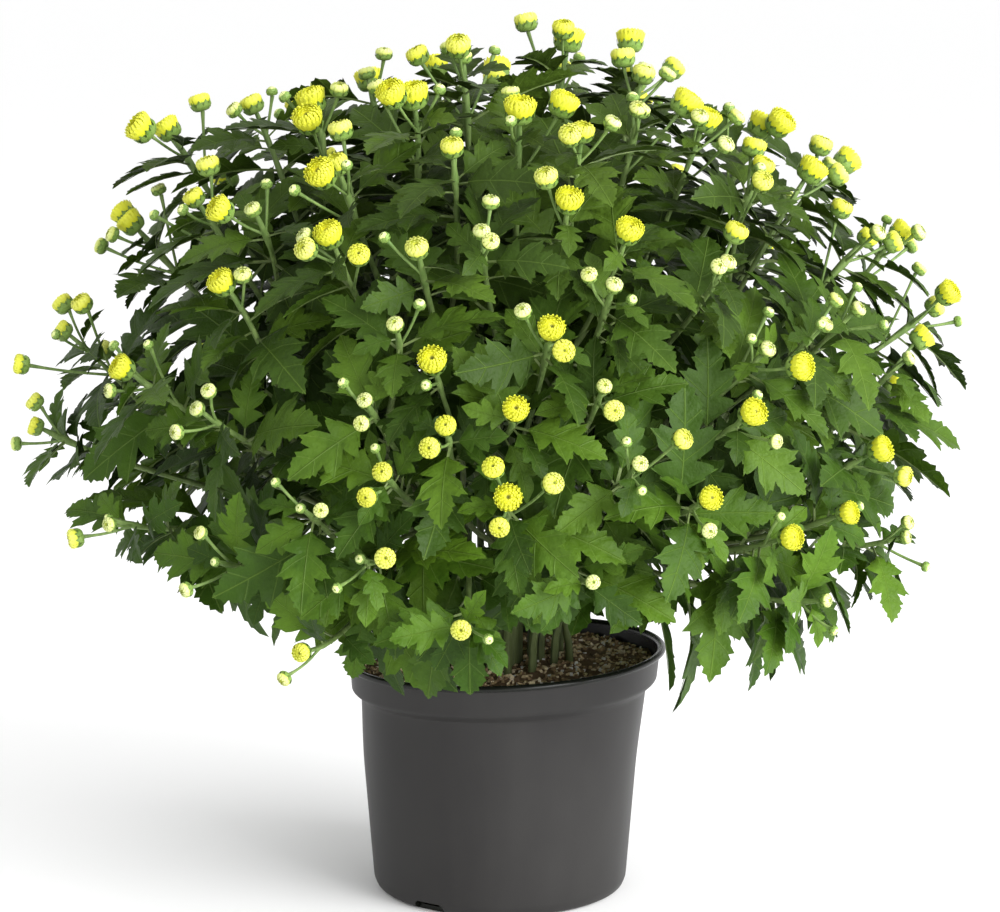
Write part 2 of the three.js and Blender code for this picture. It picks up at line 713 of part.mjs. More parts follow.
// Leaves stand round the shoot by the golden angle, turned on where the space is taken
function growLeaf(stem, stemIndex, shoot, shootIndex, nodeIndex) {
  const [distance, fullLength] = LEAF_NODES[nodeIndex];
  const random = randomSource(stemIndex * 211 + shootIndex * 37 + nodeIndex * 5 + 3);
  const node = shoot.length - distance;
  const taken = shoot.branches.some((branch) => Math.abs(branch.node - node) < NODE_SPACING);
  if (node < 2 * NODE_SPACING || taken) {
    return;
  }
  const [root, along] = onPath(shoot.path, node);
  const start = random() * 2 * Math.PI;
  const size = fullLength * THREE.MathUtils.lerp(...LEAF_SIZE, random());
  const droop = THREE.MathUtils.lerp(...LEAF_DROOP, random());
  const roll = LEAF_ROLL * (random() + random() - 1);
  const sag = LEAF_SAG[1] * outward(root).z - LEAF_SAG[0];
  const [u, v] = across(along);
  for (const [turn, scale] of LEAF_TRIES) {
    const angle = start + nodeIndex * GOLDEN_ANGLE + turn;
    const direction = along.clone().multiplyScalar(LEAF_ALONG)
      .addScaledVector(u, Math.cos(angle))
      .addScaledVector(v, Math.sin(angle))
      .addScaledVector(UP, sag);
    const leaf = leafFrame(root, direction, droop, roll, size * scale);
    const points = leafPoints(leaf);
    const barred = points.some(([point]) => isBarred(point));
    if (!barred && isClear(points, stemIndex, root)) {
      occupy(points, stemIndex);
      shoot.leaves.push({ node, direction: leaf.along, ...leaf });
      return;
    }
  }
}

function growLeaves(stems) {
  LEAF_NODES.forEach((_, nodeIndex) => stems.forEach((stem, stemIndex) => {
    stem.shoots.forEach((shoot, shootIndex) => {
      const order = (2 * nodeIndex + 3 * shootIndex + stemIndex) % LEAF_TURNS;
      if (order < LEAVES_EACH_TURN) {
        growLeaf(stem, stemIndex, shoot, shootIndex, nodeIndex);
      }
    });
  }));
}

// Solids of the plant

// A blade grows out of three corners of its stem. It is thickest along its rib and thin at its
// edge, with the same triangles on both faces.
function growBlade(skin, corners, leaf) {
  const half = LEAF_THICKNESS / 2;
  const add = (x, y, thickness) => skin.loop([onLeaf(leaf, x, y, thickness)])[0];
  const width = PETIOLE_HALF_WIDTH / leaf.length;
  const neck = [add(PETIOLE, width, 0), add(PETIOLE, -width, 0), add(PETIOLE, 0, -PETIOLE_KEEL)];
  skin.bridge(corners, neck);
  const [leftNeck, rightNeck, keel] = neck;
  const top = LEAF_RIB.map((x) => add(x, 0, half));
  const bottom = LEAF_RIB.map((x) => add(x, 0, -half));
  const tip = add(1, 0, 0);
  const edges = [[1, leftNeck], [-1, rightNeck]].map(([side, start]) => (
    [start, ...LEAF_OUTLINE.map(([x, y]) => add(x, side * y, 0))]));
  skin.face(rightNeck, top[0], leftNeck);
  skin.face(keel, leftNeck, bottom[0]);
  skin.face(keel, bottom[0], rightNeck);
  [top, bottom].forEach((rib, faceIndex) => edges.forEach((edge, edgeIndex) => {
    const span = (a, b, c) => (faceIndex === edgeIndex ? skin.face(a, b, c) : skin.face(a, c, b));
    let at = 0;
    LEAF_OUTLINE.forEach(([, , ribNumber], i) => {
      if (ribNumber - 1 > at) {
        span(edge[i], rib[at], rib[ribNumber - 1]);
        at = ribNumber - 1;
      }
      span(edge[i], rib[at], edge[i + 1]);
    });
    span(edge[LEAF_OUTLINE.length], rib[at], tip);
  }));
}

function growBud(skin, loop, bud) {
  const { radius } = bud;
  const { sections, apex, notch } = BUD_STAGES[bud.stage];
  const along = (height) => bud.base.clone().addScaledVector(bud.axis, height * radius);
  let last = loop;
  sections.forEach(([height, width, count]) => {
    const options = { notch: count > 5 ? notch : 1 };
    const ring = skin.loop(ringAround(along(height), bud.axis, width * radius, count, options));
    skin.bridge(last, ring);
    last = ring;
  });
  skin.close(last, along(apex));
}

// The joints of a shoot, where something grows out of it, and plain rings between far ones
function jointPlan(shoot) {
  const nodes = [...shoot.leaves, ...shoot.buds, ...shoot.branches].map(({ node }) => node);
  const joints = [...new Set(nodes)].sort((a, b) => a - b);
  const rings = [];
  let last = 0;
  [...joints, shoot.length].forEach((node) => {
    const steps = Math.ceil((node - last) / LONGEST_STEP);
    for (let i = 1; i < steps; i += 1) {
      rings.push({ node: last + ((node - last) * i) / steps, joint: false });
    }
    rings.push({ node, joint: node < shoot.length });
    last = node;
  });
  return rings;
}

function growShoot(skin, start, shoot, wish) {
  const thick = shoot.parent ? SHOOT_RADIUS : STEM_RADIUS;
  let last = start;
  let guide = wish;
  jointPlan(shoot).forEach(({ node, joint }) => {
    const radius = THREE.MathUtils.lerp(thick, TIP_RADIUS, node / shoot.length);
    const [centre, axis] = onPath(shoot.path, node);
    [guide] = across(axis, guide);
    const ring = (offset, turn) => skin.loop(ringAround(
      centre.clone().addScaledVector(axis, offset), axis, radius, 3, { wish: guide, turn }));
    if (!joint) {
      const next = node < shoot.length ? ring(0, 0) : skin.loop(
        ringAround(shoot.tipBud.base, shoot.tipBud.axis, STALK_RADIUS, 3, { wish: guide }));
      skin.bridge(last, next);
      last = next;
      return;
    }
    const [low, high] = [ring(-JOINT_HALF, 0), ring(JOINT_HALF, Math.PI / 3)];
    skin.bridge(last, low);
    const faces = skin.bridge(low, high);
    last = high;
    shoot.branches.filter((branch) => branch.node === node).forEach((branch) => {
      const [next] = onPath(branch.shoot.path, FIRST_LOOK);
      const direction = next.clone().sub(centre).normalize();
      growShoot(skin, skin.open(faces, direction), branch.shoot, guide);
    });
    shoot.leaves.filter((leaf) => leaf.node === node).forEach((leaf) => {
      growBlade(skin, skin.open(faces, leaf.direction), leaf);
    });
    shoot.buds.filter((bud) => bud.node === node).forEach((bud) => {
      const corners = skin.open(faces, bud.direction);
      const base = skin.loop(ringAround(bud.base, bud.axis, STALK_RADIUS, 3));
      skin.bridge(corners, base);
      growBud(skin, base, bud);
    });
  });
  growBud(skin, last, shoot.tipBud);
}

function makeStem(stem, index) {
  const skin = new Skin();
  const wish = vector(1, 0, 0);
  const foot = skin.loop(ringAround(stem.foot, UP, STEM_RADIUS, 3, { wish }));
  const ground = skin.loop(ringAround(stem.shoots[0].path[0], UP, STEM_RADIUS, 3, { wish }));
  skin.face(foot[0], foot[2], foot[1]);
  skin.bridge(foot, ground);
  growShoot(skin, ground, stem.shoots[0], wish);
  const name = `leafy_stem_${String(index + 1).padStart(2, '0')}`;
  addMesh(name, skin.solid(), GREEN);
}

makePot();
const stems = growStems();
growBuds(stems);
growLeaves(stems);
makeSoil(stems);
stems.forEach(makeStem);

export default potted;
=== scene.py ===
"""Potted chrysanthemum: a dome of leafy stems with yellow button blooms in a nursery pot.

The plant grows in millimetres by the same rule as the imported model, and is scaled to metres when
its meshes are made. +Z is up and the front faces -Y.
"""
import json
import math

import bpy
import numpy as np
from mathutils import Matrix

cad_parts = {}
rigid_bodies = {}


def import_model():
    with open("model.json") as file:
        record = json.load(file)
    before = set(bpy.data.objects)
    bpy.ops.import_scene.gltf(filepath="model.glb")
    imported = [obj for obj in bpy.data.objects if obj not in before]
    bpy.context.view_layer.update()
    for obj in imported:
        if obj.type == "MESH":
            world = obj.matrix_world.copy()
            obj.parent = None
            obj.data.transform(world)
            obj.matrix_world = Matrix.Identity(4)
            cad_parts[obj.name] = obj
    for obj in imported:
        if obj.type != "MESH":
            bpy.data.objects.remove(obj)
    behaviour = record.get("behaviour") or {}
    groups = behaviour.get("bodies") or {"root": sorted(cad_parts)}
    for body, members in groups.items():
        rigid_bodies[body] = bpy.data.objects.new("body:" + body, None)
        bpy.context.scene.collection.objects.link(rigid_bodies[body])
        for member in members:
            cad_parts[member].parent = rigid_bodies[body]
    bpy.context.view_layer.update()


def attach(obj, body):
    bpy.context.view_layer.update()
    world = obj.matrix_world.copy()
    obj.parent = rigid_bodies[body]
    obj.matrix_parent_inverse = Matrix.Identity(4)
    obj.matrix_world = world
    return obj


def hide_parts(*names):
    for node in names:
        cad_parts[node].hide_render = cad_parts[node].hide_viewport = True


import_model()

MILLIMETRE = 0.001
UP = np.array([0.0, 0.0, 1.0])
SIDEWAYS = np.array([1.0, 0.0, 0.0])
GOLDEN_ANGLE = math.radians(137.508)
TURN = 2 * math.pi

# Pot
POT_HEIGHT = 143
POT_WALL = 1.5
RIM_RADIUS = 95.5
LIP_HEIGHT = 4
COLLAR_RADIUS = 92
COLLAR_HEIGHT = 15
SHOULDER_HEIGHT = 5
BODY_TOP_RADIUS = 84.8
BODY_FOOT_RADIUS = 75.6
FOOT_ROUNDING = 6
FLOOR_THICKNESS = 2.5
RIM_TILT = math.tan(math.radians(2.5))
RIM_SHIFT = 3
WARP_START = 70
NOTCH_ANGLES = [-34, 86, 206]
NOTCH_WIDTH = 20
NOTCH_HEIGHT = 6
NOTCH_DEPTH = 12
NOTCH_CORNER = 2.5
POT_SIDES = 112
POT_CORNER = 1.6
CORNER_STEPS = 4

# Soil
SOIL_DROP = 9
SOIL_MOUND = 3
SEAT_GAP = 0.3
STEM_HOLE_DEPTH = 18
SOIL_SIDES = 80
SOIL_RINGS = 30
CRUMBS = 2600
PEAT_SHARE = 0.5
BARK_SHARE = 0.88
PEAT_SIZES = [0.5, 1.6]
BARK_SIZES = [0.8, 2.6]
BARK_PROPORTIONS = [1, 0.6, 0.4]
GRAIN_SIZES = [0.5, 1.3]

# Stems
CROWN = np.array([0.0, 0.0, 252.0])
FOOT_SPACING = 7.4
FOOT_RISE = 7
FOOT_START = 0.6
STEM_RADIUS = 2.8
SHOOT_RADIUS = 2.1
TIP_RADIUS = 1.5
STALK_RADIUS = 1.1

# Each stem: its shoots as [azimuth, elevation, reach from the crown, buds]
FRONT_STEMS = [
    [[-83, 6, 277, 3], [-60, -2, 256, 3], [-85, 18, 272, 5]],
    [[-39, -5, 248, 3], [-28, -17, 238, 2], [-26, 3, 244, 3]],
    [[-15, 8, 240, 3], [-18, -3, 242, 3], [-5, -12, 240, 2]],
    [[1, 5, 240, 4], [-7, 14, 240, 2]],
    [[18, 9, 242, 4], [27, 4, 244, 2], [12, -6, 238, 1]],
    [[39, -2, 247, 2], [47, -11, 251, 2], [49, 0, 251, 2]],
    [[64, -5, 258, 3], [56, 7, 254, 2], [71, 17, 260, 2]],
    [[-59, 17, 255, 4], [-43, 14, 249, 3], [-44, 30, 250, 2]],
    [[-18, 17, 242, 3], [-9, 22, 241, 2], [-15, 27, 242, 2]],
    [[7, 26, 243, 3], [14, 19, 241, 2], [2, 16, 240, 1]],
    [[39, 22, 248, 4], [34, 14, 246, 3], [51, 24, 253, 3]],
    [[85, 21, 275, 4], [60, 25, 256, 3], [84, 31, 275, 4]],
    [[17, 32, 245, 3], [21, 39, 246, 2], [37, 34, 248, 3]],
    [[-13, 37, 245, 2], [-3, 40, 245, 3], [-28, 38, 247, 4]],
    [[-87, 34, 262, 5], [-64, 41, 255, 4], [-46, 41, 252, 3]],
    [[77, 33, 260, 4], [74, 44, 258, 3], [59, 47, 253, 4]],
    [[-86, 46, 280, 4], [-80, 56, 262, 3], [-57, 60, 254, 4]],
    [[-33, 49, 250, 5], [-25, 63, 251, 4], [-10, 53, 249, 2]],
    [[5, 60, 250, 4], [19, 56, 249, 3], [12, 44, 246, 2]],
    [[39, 60, 252, 4], [55, 56, 253, 4], [60, 68, 254, 3]],
    [[80, 53, 256, 4], [88, 43, 268, 3]],
    [[-20, 76, 255, 5], [94, 81, 256, 4], [96, 70, 255, 3]],
]
REAR_ROWS = [
    [2, 246, [112, 146, 180, 214, 248]],
    [30, 246, [128, 164, 200, 236]],
    [58, 250, [140, 196, 246]],
]
REAR_SIDE_SHOOTS = [[13, 13], [-14, 8]]
REAR_BUDS = [3, 2, 2]

# Growth of a shoot
RISE = 90
SIDE_RISE = 0.3
ARRIVAL = 0.34
ARRIVAL_OUTWARD = 0.85
ARRIVAL_UPWARD = 0.4
PATH_POINTS = 28
BRANCHING = [0.42, 0.54]
BUD_ROOM = 10
RISE_SHARES = [1, 0.75, 1.25, 0.5]
SWINGS = [0, 9, -9, 18, -18, 27, -27, 36, -36]

# Buds
BUD_NODES = [14, 14, 34, 34]
STALK_LEAST = 7
STALK_SPREAD = 8
STALK_LEAN = 0.85
STALK_OUTWARD = 0.3
BUD_OUTWARD = 0.6
TIP_OUTWARD = 0.5
BUD_TRIES = 9
BUD_TURN = 0.7
BUD_RADII = [8.8, 7.0, 5.2, 3.6]
BUD_SHARES = [-0.02, 0.2, 0.52, 1]
LOW_BUD_SIZE = 0.78
TIP_LEAD = 0.3
HEIGHT_LEAD = 0.24
LEAD_HEIGHTS = [250, 500]

# Leaves
LEAF_NODES = [[14, 52], [34, 66], [52, 76], [76, 80], [104, 74]]
LEAF_TURNS = 7
LEAVES_EACH_TURN = 3
NODE_SPACING = 7
LEAF_SIZE = [0.92, 1.08]
LEAF_DROOP = [0.22, 0.5]
LEAF_ALONG = 0.5
LEAF_FACE = [0.75, 0.5]
LEAF_ROLL = 1
LEAF_SAG = [0.35, 0.3]
LEAF_LIFT = 0.12
LEAF_FOLD = 0.3
LEAF_CURL = 0.5
LEAF_TRIES = [
    [0, 1], [0.5, 1], [-0.5, 1], [1, 1], [-1, 1], [1.6, 1], [-1.6, 1], [2.3, 1], [3.1, 1],
    [0, 0.85], [0.7, 0.85], [-0.7, 0.85], [1.5, 0.85], [-1.5, 0.85], [2.3, 0.85], [3.1, 0.85],
]
PETIOLE = 0.17
LEAF_ENVELOPE = [[0, 0.02], [0.2, 0.1], [0.42, 0.27], [0.74, 0.28], [0.87, 0.16], [1, 0.03]]

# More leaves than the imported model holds, as [distance below the tip, length]: small ones at the
# buds, and others down the shoots
SMALL_LEAF_NODES = [[8, 27], [15, 36], [22, 42], [29, 46], [36, 40], [44, 50]]
INNER_LEAF_NODES = [
    [64, 64], [78, 58], [92, 64], [106, 58], [120, 60], [136, 58], [152, 56], [172, 54], [196, 50],
]
LEFT_OUT_STEP = 3
FILL_CLEARANCE = 1.3
FILL_TRIES = [
    *LEAF_TRIES, [0.4, 0.68], [-0.4, 0.68], [1.2, 0.68], [-1.2, 0.68], [2, 0.68], [2.8, 0.68],
]

# Clearance
MOST_POINTS = 400000
CELL = 20
COARSE_STEP = 7
CLEARANCE_STEP = 4.2
LEAF_CLEARANCE = 2.5
PATH_CLEARANCE = 1.6
STALK_CLEARANCE = 0.3
BUD_CLEARANCE = 0.4
STALK_SHARES = [0.3, 0.45, 0.6, 0.75, 0.9]
BUD_CENTRE = 0.8
ROOT_FREE = 9
POT_CLEARANCE = 4
LOWEST_LEAF = 120
LOWEST_REACH = 105
LOWEST_RISE = 0.5
LOWEST_FALL = 0.13
PARTING_SIDES = [6, 92]
PARTING_HEIGHT = 150
PARTING_RISE = 0.22

# Half of a blade's outline as fractions of the leaf's length: along it and out from the rib
OUTLINE = [
    [0.17, 0.011], [0.25, 0.085], [0.31, 0.175], [0.335, 0.18], [0.39, 0.27], [0.41, 0.225], [0.44, 0.205],
    [0.44, 0.13], [0.455, 0.105], [0.51, 0.165], [0.56, 0.225], [0.585, 0.215], [0.68, 0.276],
    [0.69, 0.225], [0.71, 0.19], [0.685, 0.115], [0.72, 0.12], [0.80, 0.157], [0.82, 0.13],
    [0.87, 0.13], [0.89, 0.095], [0.945, 0.07], [1.0, 0.0],
]
# The mesh's cross lines leave the rib forward by this much for each step outward, and the side
# veins by that much, at even places along the rib
LINE_SLOPE = 0.6
VEIN_SLOPE = 0.9
FIRST_VEIN = 0.16
VEIN_SPACING = 0.27
BLADE_THICKNESS = 0.6
ROW_SPACING = 0.03
TOOTH = 0.010
TOOTH_LIMIT = 0.3
# The outline's points that a small leaf keeps
SMALL_ROWS = [0, 2, 4, 6, 8, 10, 12, 14, 15, 17, 19, 22]
# Leaves shorter than this, and leaves further than this below the tip, have fewer triangles
SMALL_LENGTH = 36
INNER_DEPTH = 77
# Relief of a blade, as fractions of the leaf's length
CREASE_DEPTH = 0.011
CREASE_WIDTH = 0.16
CREASE_START = 0.05
RIB_DEPTH = 0.012
RIB_WIDTH = 0.018
WAVE = 0.05
WAVES = 11
WAVE_SHIFT = 4
EDGE_CURL = 0.5
EDGE_START = 0.12
# The rib under the blade, which is the stalk up to the blade
RIB_END = 0.86
RIB_POINTS = 5
RIB_SIDES = 3
RIB_SHARES = [0, PETIOLE, 0.4, RIB_END]
RIB_OFFSET = -0.45
RIB_RADIUS = 0.25
RIB_GROWTH = 0.012
RIB_TIP = 0.15
# The rib's share of the lit stem colour, as painted shade under the blade
RIB_LIT_SHARE = 0.55
# Reach and height over which a leaf is painted darker, as painted shade on leaves near the crown and on
# leaves high on the plant
PAINTED_SHADE_REACH = [120, 260]
PAINTED_SHADE_HEIGHT = [200, 500]

# Stems and stalks as meshes
STEM_RINGS = 24
STEM_SIDES = 6
SLIMMER = 0.86
NODE_SWELLING = 0.16
NODE_LENGTH = 3
# Painted shade: the share of the lit stem colour at a stem's foot, under the foliage
SHADED_FOOT_TONE = 0.25
STALK_RINGS = 7
STALK_BEND = 1.6
STALK_SINK = -0.6
STALK_PROFILE = [[0, 0.15, 0.8, 1], [1.2, 0.82, 0.82, 1.25]]

# Blooms, where 1 is the bloom's radius
# Each stage of opening. A whorl of petals or scales is its count and, as radius and height, the
# start, the belly and the tip of each of them.
BLOOMS = [
    {"petals": [
        [19, (0.66, 0.40), (0.88, 0.86), (0.99, 1.36)],
        [18, (0.74, 0.60), (0.90, 1.10), (0.88, 1.47)],
        [16, (0.72, 0.94), (0.84, 1.26), (0.72, 1.54)],
        [14, (0.62, 1.06), (0.72, 1.34), (0.56, 1.57)],
        [11, (0.46, 1.12), (0.55, 1.38), (0.40, 1.56)],
        [8, (0.32, 1.12), (0.39, 1.36), (0.23, 1.50)],
    ], "scales": [
        [10, (0.40, 0.06), (0.80, 0.30), (0.91, 0.84)],
        [11, (0.32, 0.02), (0.70, 0.14), (0.86, 0.52)],
    ], "core": [
        (0.16, 0.00), (0.53, 0.09), (0.80, 0.36), (0.86, 0.74), (0.85, 1.12),
        (0.70, 1.32), (0.46, 1.38), (0.24, 1.36), (0.12, 1.26),
    ]},
    {"petals": [
        [15, (0.70, 0.50), (0.95, 0.98), (0.86, 1.40)],
        [13, (0.76, 0.86), (0.88, 1.22), (0.66, 1.50)],
        [10, (0.58, 1.00), (0.68, 1.32), (0.44, 1.52)],
        [7, (0.38, 1.04), (0.46, 1.30), (0.24, 1.46)],
    ], "scales": [
        [9, (0.40, 0.08), (0.84, 0.32), (0.96, 0.92)],
        [10, (0.30, 0.03), (0.70, 0.16), (0.91, 0.60)],
    ], "core": [
        (0.18, 0.00), (0.56, 0.11), (0.84, 0.40), (0.90, 0.82), (0.80, 1.16),
        (0.56, 1.32), (0.34, 1.34), (0.20, 1.32), (0.10, 1.22),
    ]},
    {"petals": [
        [12, (0.76, 0.60), (0.96, 0.94), (0.74, 1.28)],
        [9, (0.66, 0.84), (0.78, 1.12), (0.48, 1.36)],
        [6, (0.40, 0.90), (0.50, 1.16), (0.26, 1.32)],
    ], "scales": [
        [8, (0.44, 0.10), (0.94, 0.34), (0.92, 0.98)],
        [9, (0.32, 0.04), (0.78, 0.16), (0.98, 0.62)],
    ], "core": [
        (0.20, 0.00), (0.62, 0.12), (0.90, 0.42), (0.93, 0.78), (0.76, 1.06),
        (0.52, 1.17), (0.34, 1.18), (0.22, 1.14), (0.10, 1.06),
    ]},
    {"petals": [
        [6, (0.50, 0.80), (0.72, 1.20), (0.22, 1.56)],
    ], "scales": [
        [6, (0.66, 0.50), (0.92, 0.96), (0.42, 1.46)],
        [7, (0.50, 0.20), (0.96, 0.56), (0.84, 1.16)],
        [7, (0.34, 0.06), (0.86, 0.24), (0.98, 0.80)],
    ], "core": [
        (0.22, 0.00), (0.66, 0.16), (0.90, 0.50), (0.88, 0.86), (0.66, 1.20),
        (0.42, 1.40), (0.28, 1.46), (0.16, 1.50), (0.08, 1.52),
    ]},
]
PETAL_TAPER = [[0, 0.35, 0.7, 0.9, 1], [0.6, 0.9, 1.0, 0.78, 0.3]]
SCALE_TAPER = [[0, 0.3, 0.65, 0.88, 1], [0.7, 1.0, 0.85, 0.45, 0.06]]
PETAL_SPREAD = 1.12
PETAL_RIDGE = 0.05
SCALE_SPREAD = 1.05
SCALE_RIDGE = 0.04
WIDEST = 1.6
PLACE_SPREAD = 0.3
TIP_SPREAD = [0.05, 0.06]
VARIANTS = 3
LEAST_SIZE = 0.93
SIZE_SPREAD = 0.12
OPENNESS_SPREAD = 0.2
CORE_SIDES = 11

# Camera, fitted to the pot's rim and foot
CAMERA_PLACE = (0, -1.710, 0.527)
CAMERA_PITCH = math.radians(8.9)
LENS = 105.8
SENSOR = 36
FURTHEST_VIEW = 1000

# Studio: each light as its place, size and power
FLOOR_HALF = 400.0
WORLD_STRENGTH = 1.06
LIGHT_TARGET = [0, 0, 0.25]
LIGHTS = {"key": [(2.1, -1.6, 1.2), 2.2, 125], "front": [(1.0, -2.1, 0.5), 1.0, 16]}

# The plant's materials, in this order
LEAF, STEM, PETAL, CALYX, CORE = range(5)


# Numbers and vectors

def random_source(seed):
    state = (seed * 7919 + 104729) % 2147483647

    def draw():
        nonlocal state
        state = (state * 16807) % 2147483647
        return state / 2147483647

    draw()
    draw()
    return draw


def mix(low, high, share):
    return low + (high - low) * share


def unit(vector):
    return vector / np.linalg.norm(vector)


def across(axis, wish=None):
    if wish is None:
        wish = UP if abs(axis[2]) < 0.9 else SIDEWAYS
    u = unit(wish - np.dot(wish, axis) * axis)
    return u, np.cross(axis, u)


def smoothstep(value, low, high):
    share = np.clip((value - low) / (high - low), 0, 1)
    return share * share * (3 - 2 * share)


# The space that is taken

class Space:
    """Points with a radius and the stem that owns them, one row for each of their five numbers.

    The radii of tested and added points are one number for all, or one for each of them.
    """

    def __init__(self):
        self.taken = np.empty((5, MOST_POINTS))
        self.count = 0

    def occupy(self, points, radii, owner):
        end = self.count + len(points)
        self.taken[:3, self.count:end] = points.T
        self.taken[3, self.count:end] = radii
        self.taken[4, self.count:end] = owner
        self.count = end

    def is_clear(self, points, radii, owner, root):
        rows = self.taken[:, :self.count]
        near = np.ones(self.count, dtype=bool)
        for k in range(3):
            near &= (rows[k] > points[:, k].min() - CELL) & (rows[k] < points[:, k].max() + CELL)
        taken = rows[:, near].T
        if not len(taken):
            return True
        radii = np.broadcast_to(radii, len(points))
        near_root = np.linalg.norm(points - root, axis=1) < ROOT_FREE
        own = taken[:, 4] == owner
        for part in (slice(None, None, COARSE_STEP), slice(None)):
            offsets = points[part, None, :] - taken[None, :, :3]
            gaps = np.einsum("ijk,ijk->ij", offsets, offsets)
            limits = (radii[part, None] + taken[None, :, 3]) ** 2
            if np.any((gaps < limits) & ~(near_root[part, None] & own[None, :])):
                return False
        return True


space = Space()


def is_barred(points):
    """Whether a leaf would meet the pot, hang below the foliage's lower edge or hide the soil."""
    x, y, z = points.T
    reach = np.hypot(x, y)
    meets_pot = (z < POT_HEIGHT + POT_CLEARANCE) & (reach < RIM_RADIUS + POT_CLEARANCE)
    lowest = LOWEST_LEAF + LOWEST_RISE * np.maximum(reach - LOWEST_REACH, 0) - LOWEST_FALL * x
    in_parting = (y < 0) & (x > PARTING_SIDES[0]) & (x < PARTING_SIDES[1])
    return np.any(meets_pot | (z < lowest) | (in_parting & (z < PARTING_HEIGHT - PARTING_RISE * y)))


# Growth of the stems

def soil_height(radius):
    share = radius / COLLAR_RADIUS
    return POT_HEIGHT - SOIL_DROP + SOIL_MOUND * (1 - share * share)


def shoot_tip(plan):
    azimuth, elevation, reach = plan[:3]
    a, e = math.radians(azimuth), math.radians(elevation)
    direction = [math.sin(a) * math.cos(e), -math.cos(a) * math.cos(e), math.sin(e)]
    return np.array(direction) * (reach - BUD_ROOM) + CROWN


def outward(point):
    return unit(point - CROWN)


def curve_path(start, turn, tip):
    arrival = unit(outward(tip) * ARRIVAL_OUTWARD + UP * ARRIVAL_UPWARD)
    before = tip - arrival * ARRIVAL * np.linalg.norm(start - tip)
    t = (np.arange(PATH_POINTS + 1) / PATH_POINTS)[:, None]
    s = 1 - t
    return s ** 3 * start + 3 * s * s * t * turn + 3 * s * t * t * before + t ** 3 * tip


def path_length(path):
    return float(np.linalg.norm(np.diff(path, axis=0), axis=1).sum())


def on_path(path, distance):
    left = max(distance, 0)
    for i in range(1, len(path)):
        step = path[i] - path[i - 1]
        span = np.linalg.norm(step)
        if left <= span or i == len(path) - 1:
            return path[i - 1] + step * min(left / span, 1), step / span
        left -= span


def path_points(path):
    middles = (path[1:] + path[:-1]) / 2
    return np.concatenate([middles, path[1:]])


def find_path(start, direction, tip, radius, owner, lift):
    side = unit(np.cross(outward(tip), UP))
    paths = [curve_path(start, start + direction * share * lift + side * swing, tip)
             for share in RISE_SHARES for swing in SWINGS]
    for path in paths:
        points = path_points(path)
        if space.is_clear(points, radius + PATH_CLEARANCE, owner, start):
            return path
    return paths[0]


def place_feet(stems):
    free = []
    for k in range(len(stems)):
        reach = FOOT_SPACING * math.sqrt(k + FOOT_START)
        angle = k * GOLDEN_ANGLE
        free.append(np.array([math.sin(angle) * reach, -math.cos(angle) * reach, 0]))
    widest = FOOT_SPACING * math.sqrt(len(stems))
    for stem in sorted(stems, key=lambda each: each["plan"][0][1]):
        azimuth, elevation = stem["plan"][0][:2]
        a = math.radians(azimuth)
        wish = np.array([math.sin(a), -math.cos(a), 0]) * widest * (1 - elevation / 100)
        index = min(range(len(free)), key=lambda i: np.linalg.norm(free[i] - wish))
        place = free.pop(index)
        top = soil_height(math.hypot(place[0], place[1]))
        stem["foot"] = np.array([place[0], place[1], top - STEM_HOLE_DEPTH])


def new_shoot(path, parent):
    return {"path": path, "length": path_length(path), "parent": parent,
            "buds": [], "leaves": [], "branches": []}


def grow_stems():
    plans = list(FRONT_STEMS)
    for elevation, reach, azimuths in REAR_ROWS:
        for azimuth in azimuths:
            sides = [[azimuth + turn, elevation + rise, reach, REAR_BUDS[index + 1]]
                     for index, (turn, rise) in enumerate(REAR_SIDE_SHOOTS)]
            plans.append([[azimuth, elevation, reach, REAR_BUDS[0]], *sides])
    stems = [{"plan": plan, "shoots": []} for plan in plans]
    place_feet(stems)
    for index, stem in enumerate(stems):
        tip = shoot_tip(stem["plan"][0])
        ground = stem["foot"] + UP * (STEM_HOLE_DEPTH + FOOT_RISE)
        path = find_path(ground, UP, tip, STEM_RADIUS, index, RISE)
        points = path_points(np.vstack([stem["foot"], path]))
        space.occupy(points, STEM_RADIUS, index)
        stem["shoots"].append(new_shoot(path, None))
    for index, stem in enumerate(stems):
        parent = stem["shoots"][0]
        for order, plan in enumerate(stem["plan"][1:]):
            node = BRANCHING[order] * parent["length"]
            tip = shoot_tip(plan)
            start, direction = on_path(parent["path"], node)
            lift = SIDE_RISE * np.linalg.norm(start - tip)
            path = find_path(start, direction, tip, SHOOT_RADIUS, index, lift)
            points = path_points(path)
            space.occupy(points, SHOOT_RADIUS, index)
            shoot = new_shoot(path, parent)
            stem["shoots"].append(shoot)
            parent["branches"].append({"node": node, "shoot": shoot})
    return stems


# Growth of the buds

def raised_share(height):
    low, high = LEAD_HEIGHTS
    return min(max((height - low) / (high - low), 0), 1)


def bud_stage(draw, height, first):
    value = draw() - (TIP_LEAD if first else 0) - HEIGHT_LEAD * raised_share(height)
    return next(stage for stage, share in enumerate(BUD_SHARES) if value < share)


def bud_radius(stage, base):
    return BUD_RADII[stage] * mix(LOW_BUD_SIZE, 1, raised_share(base[2]))


def bud_space(base, axis, radius):
    return base + axis * radius * BUD_CENTRE, radius + BUD_CLEARANCE


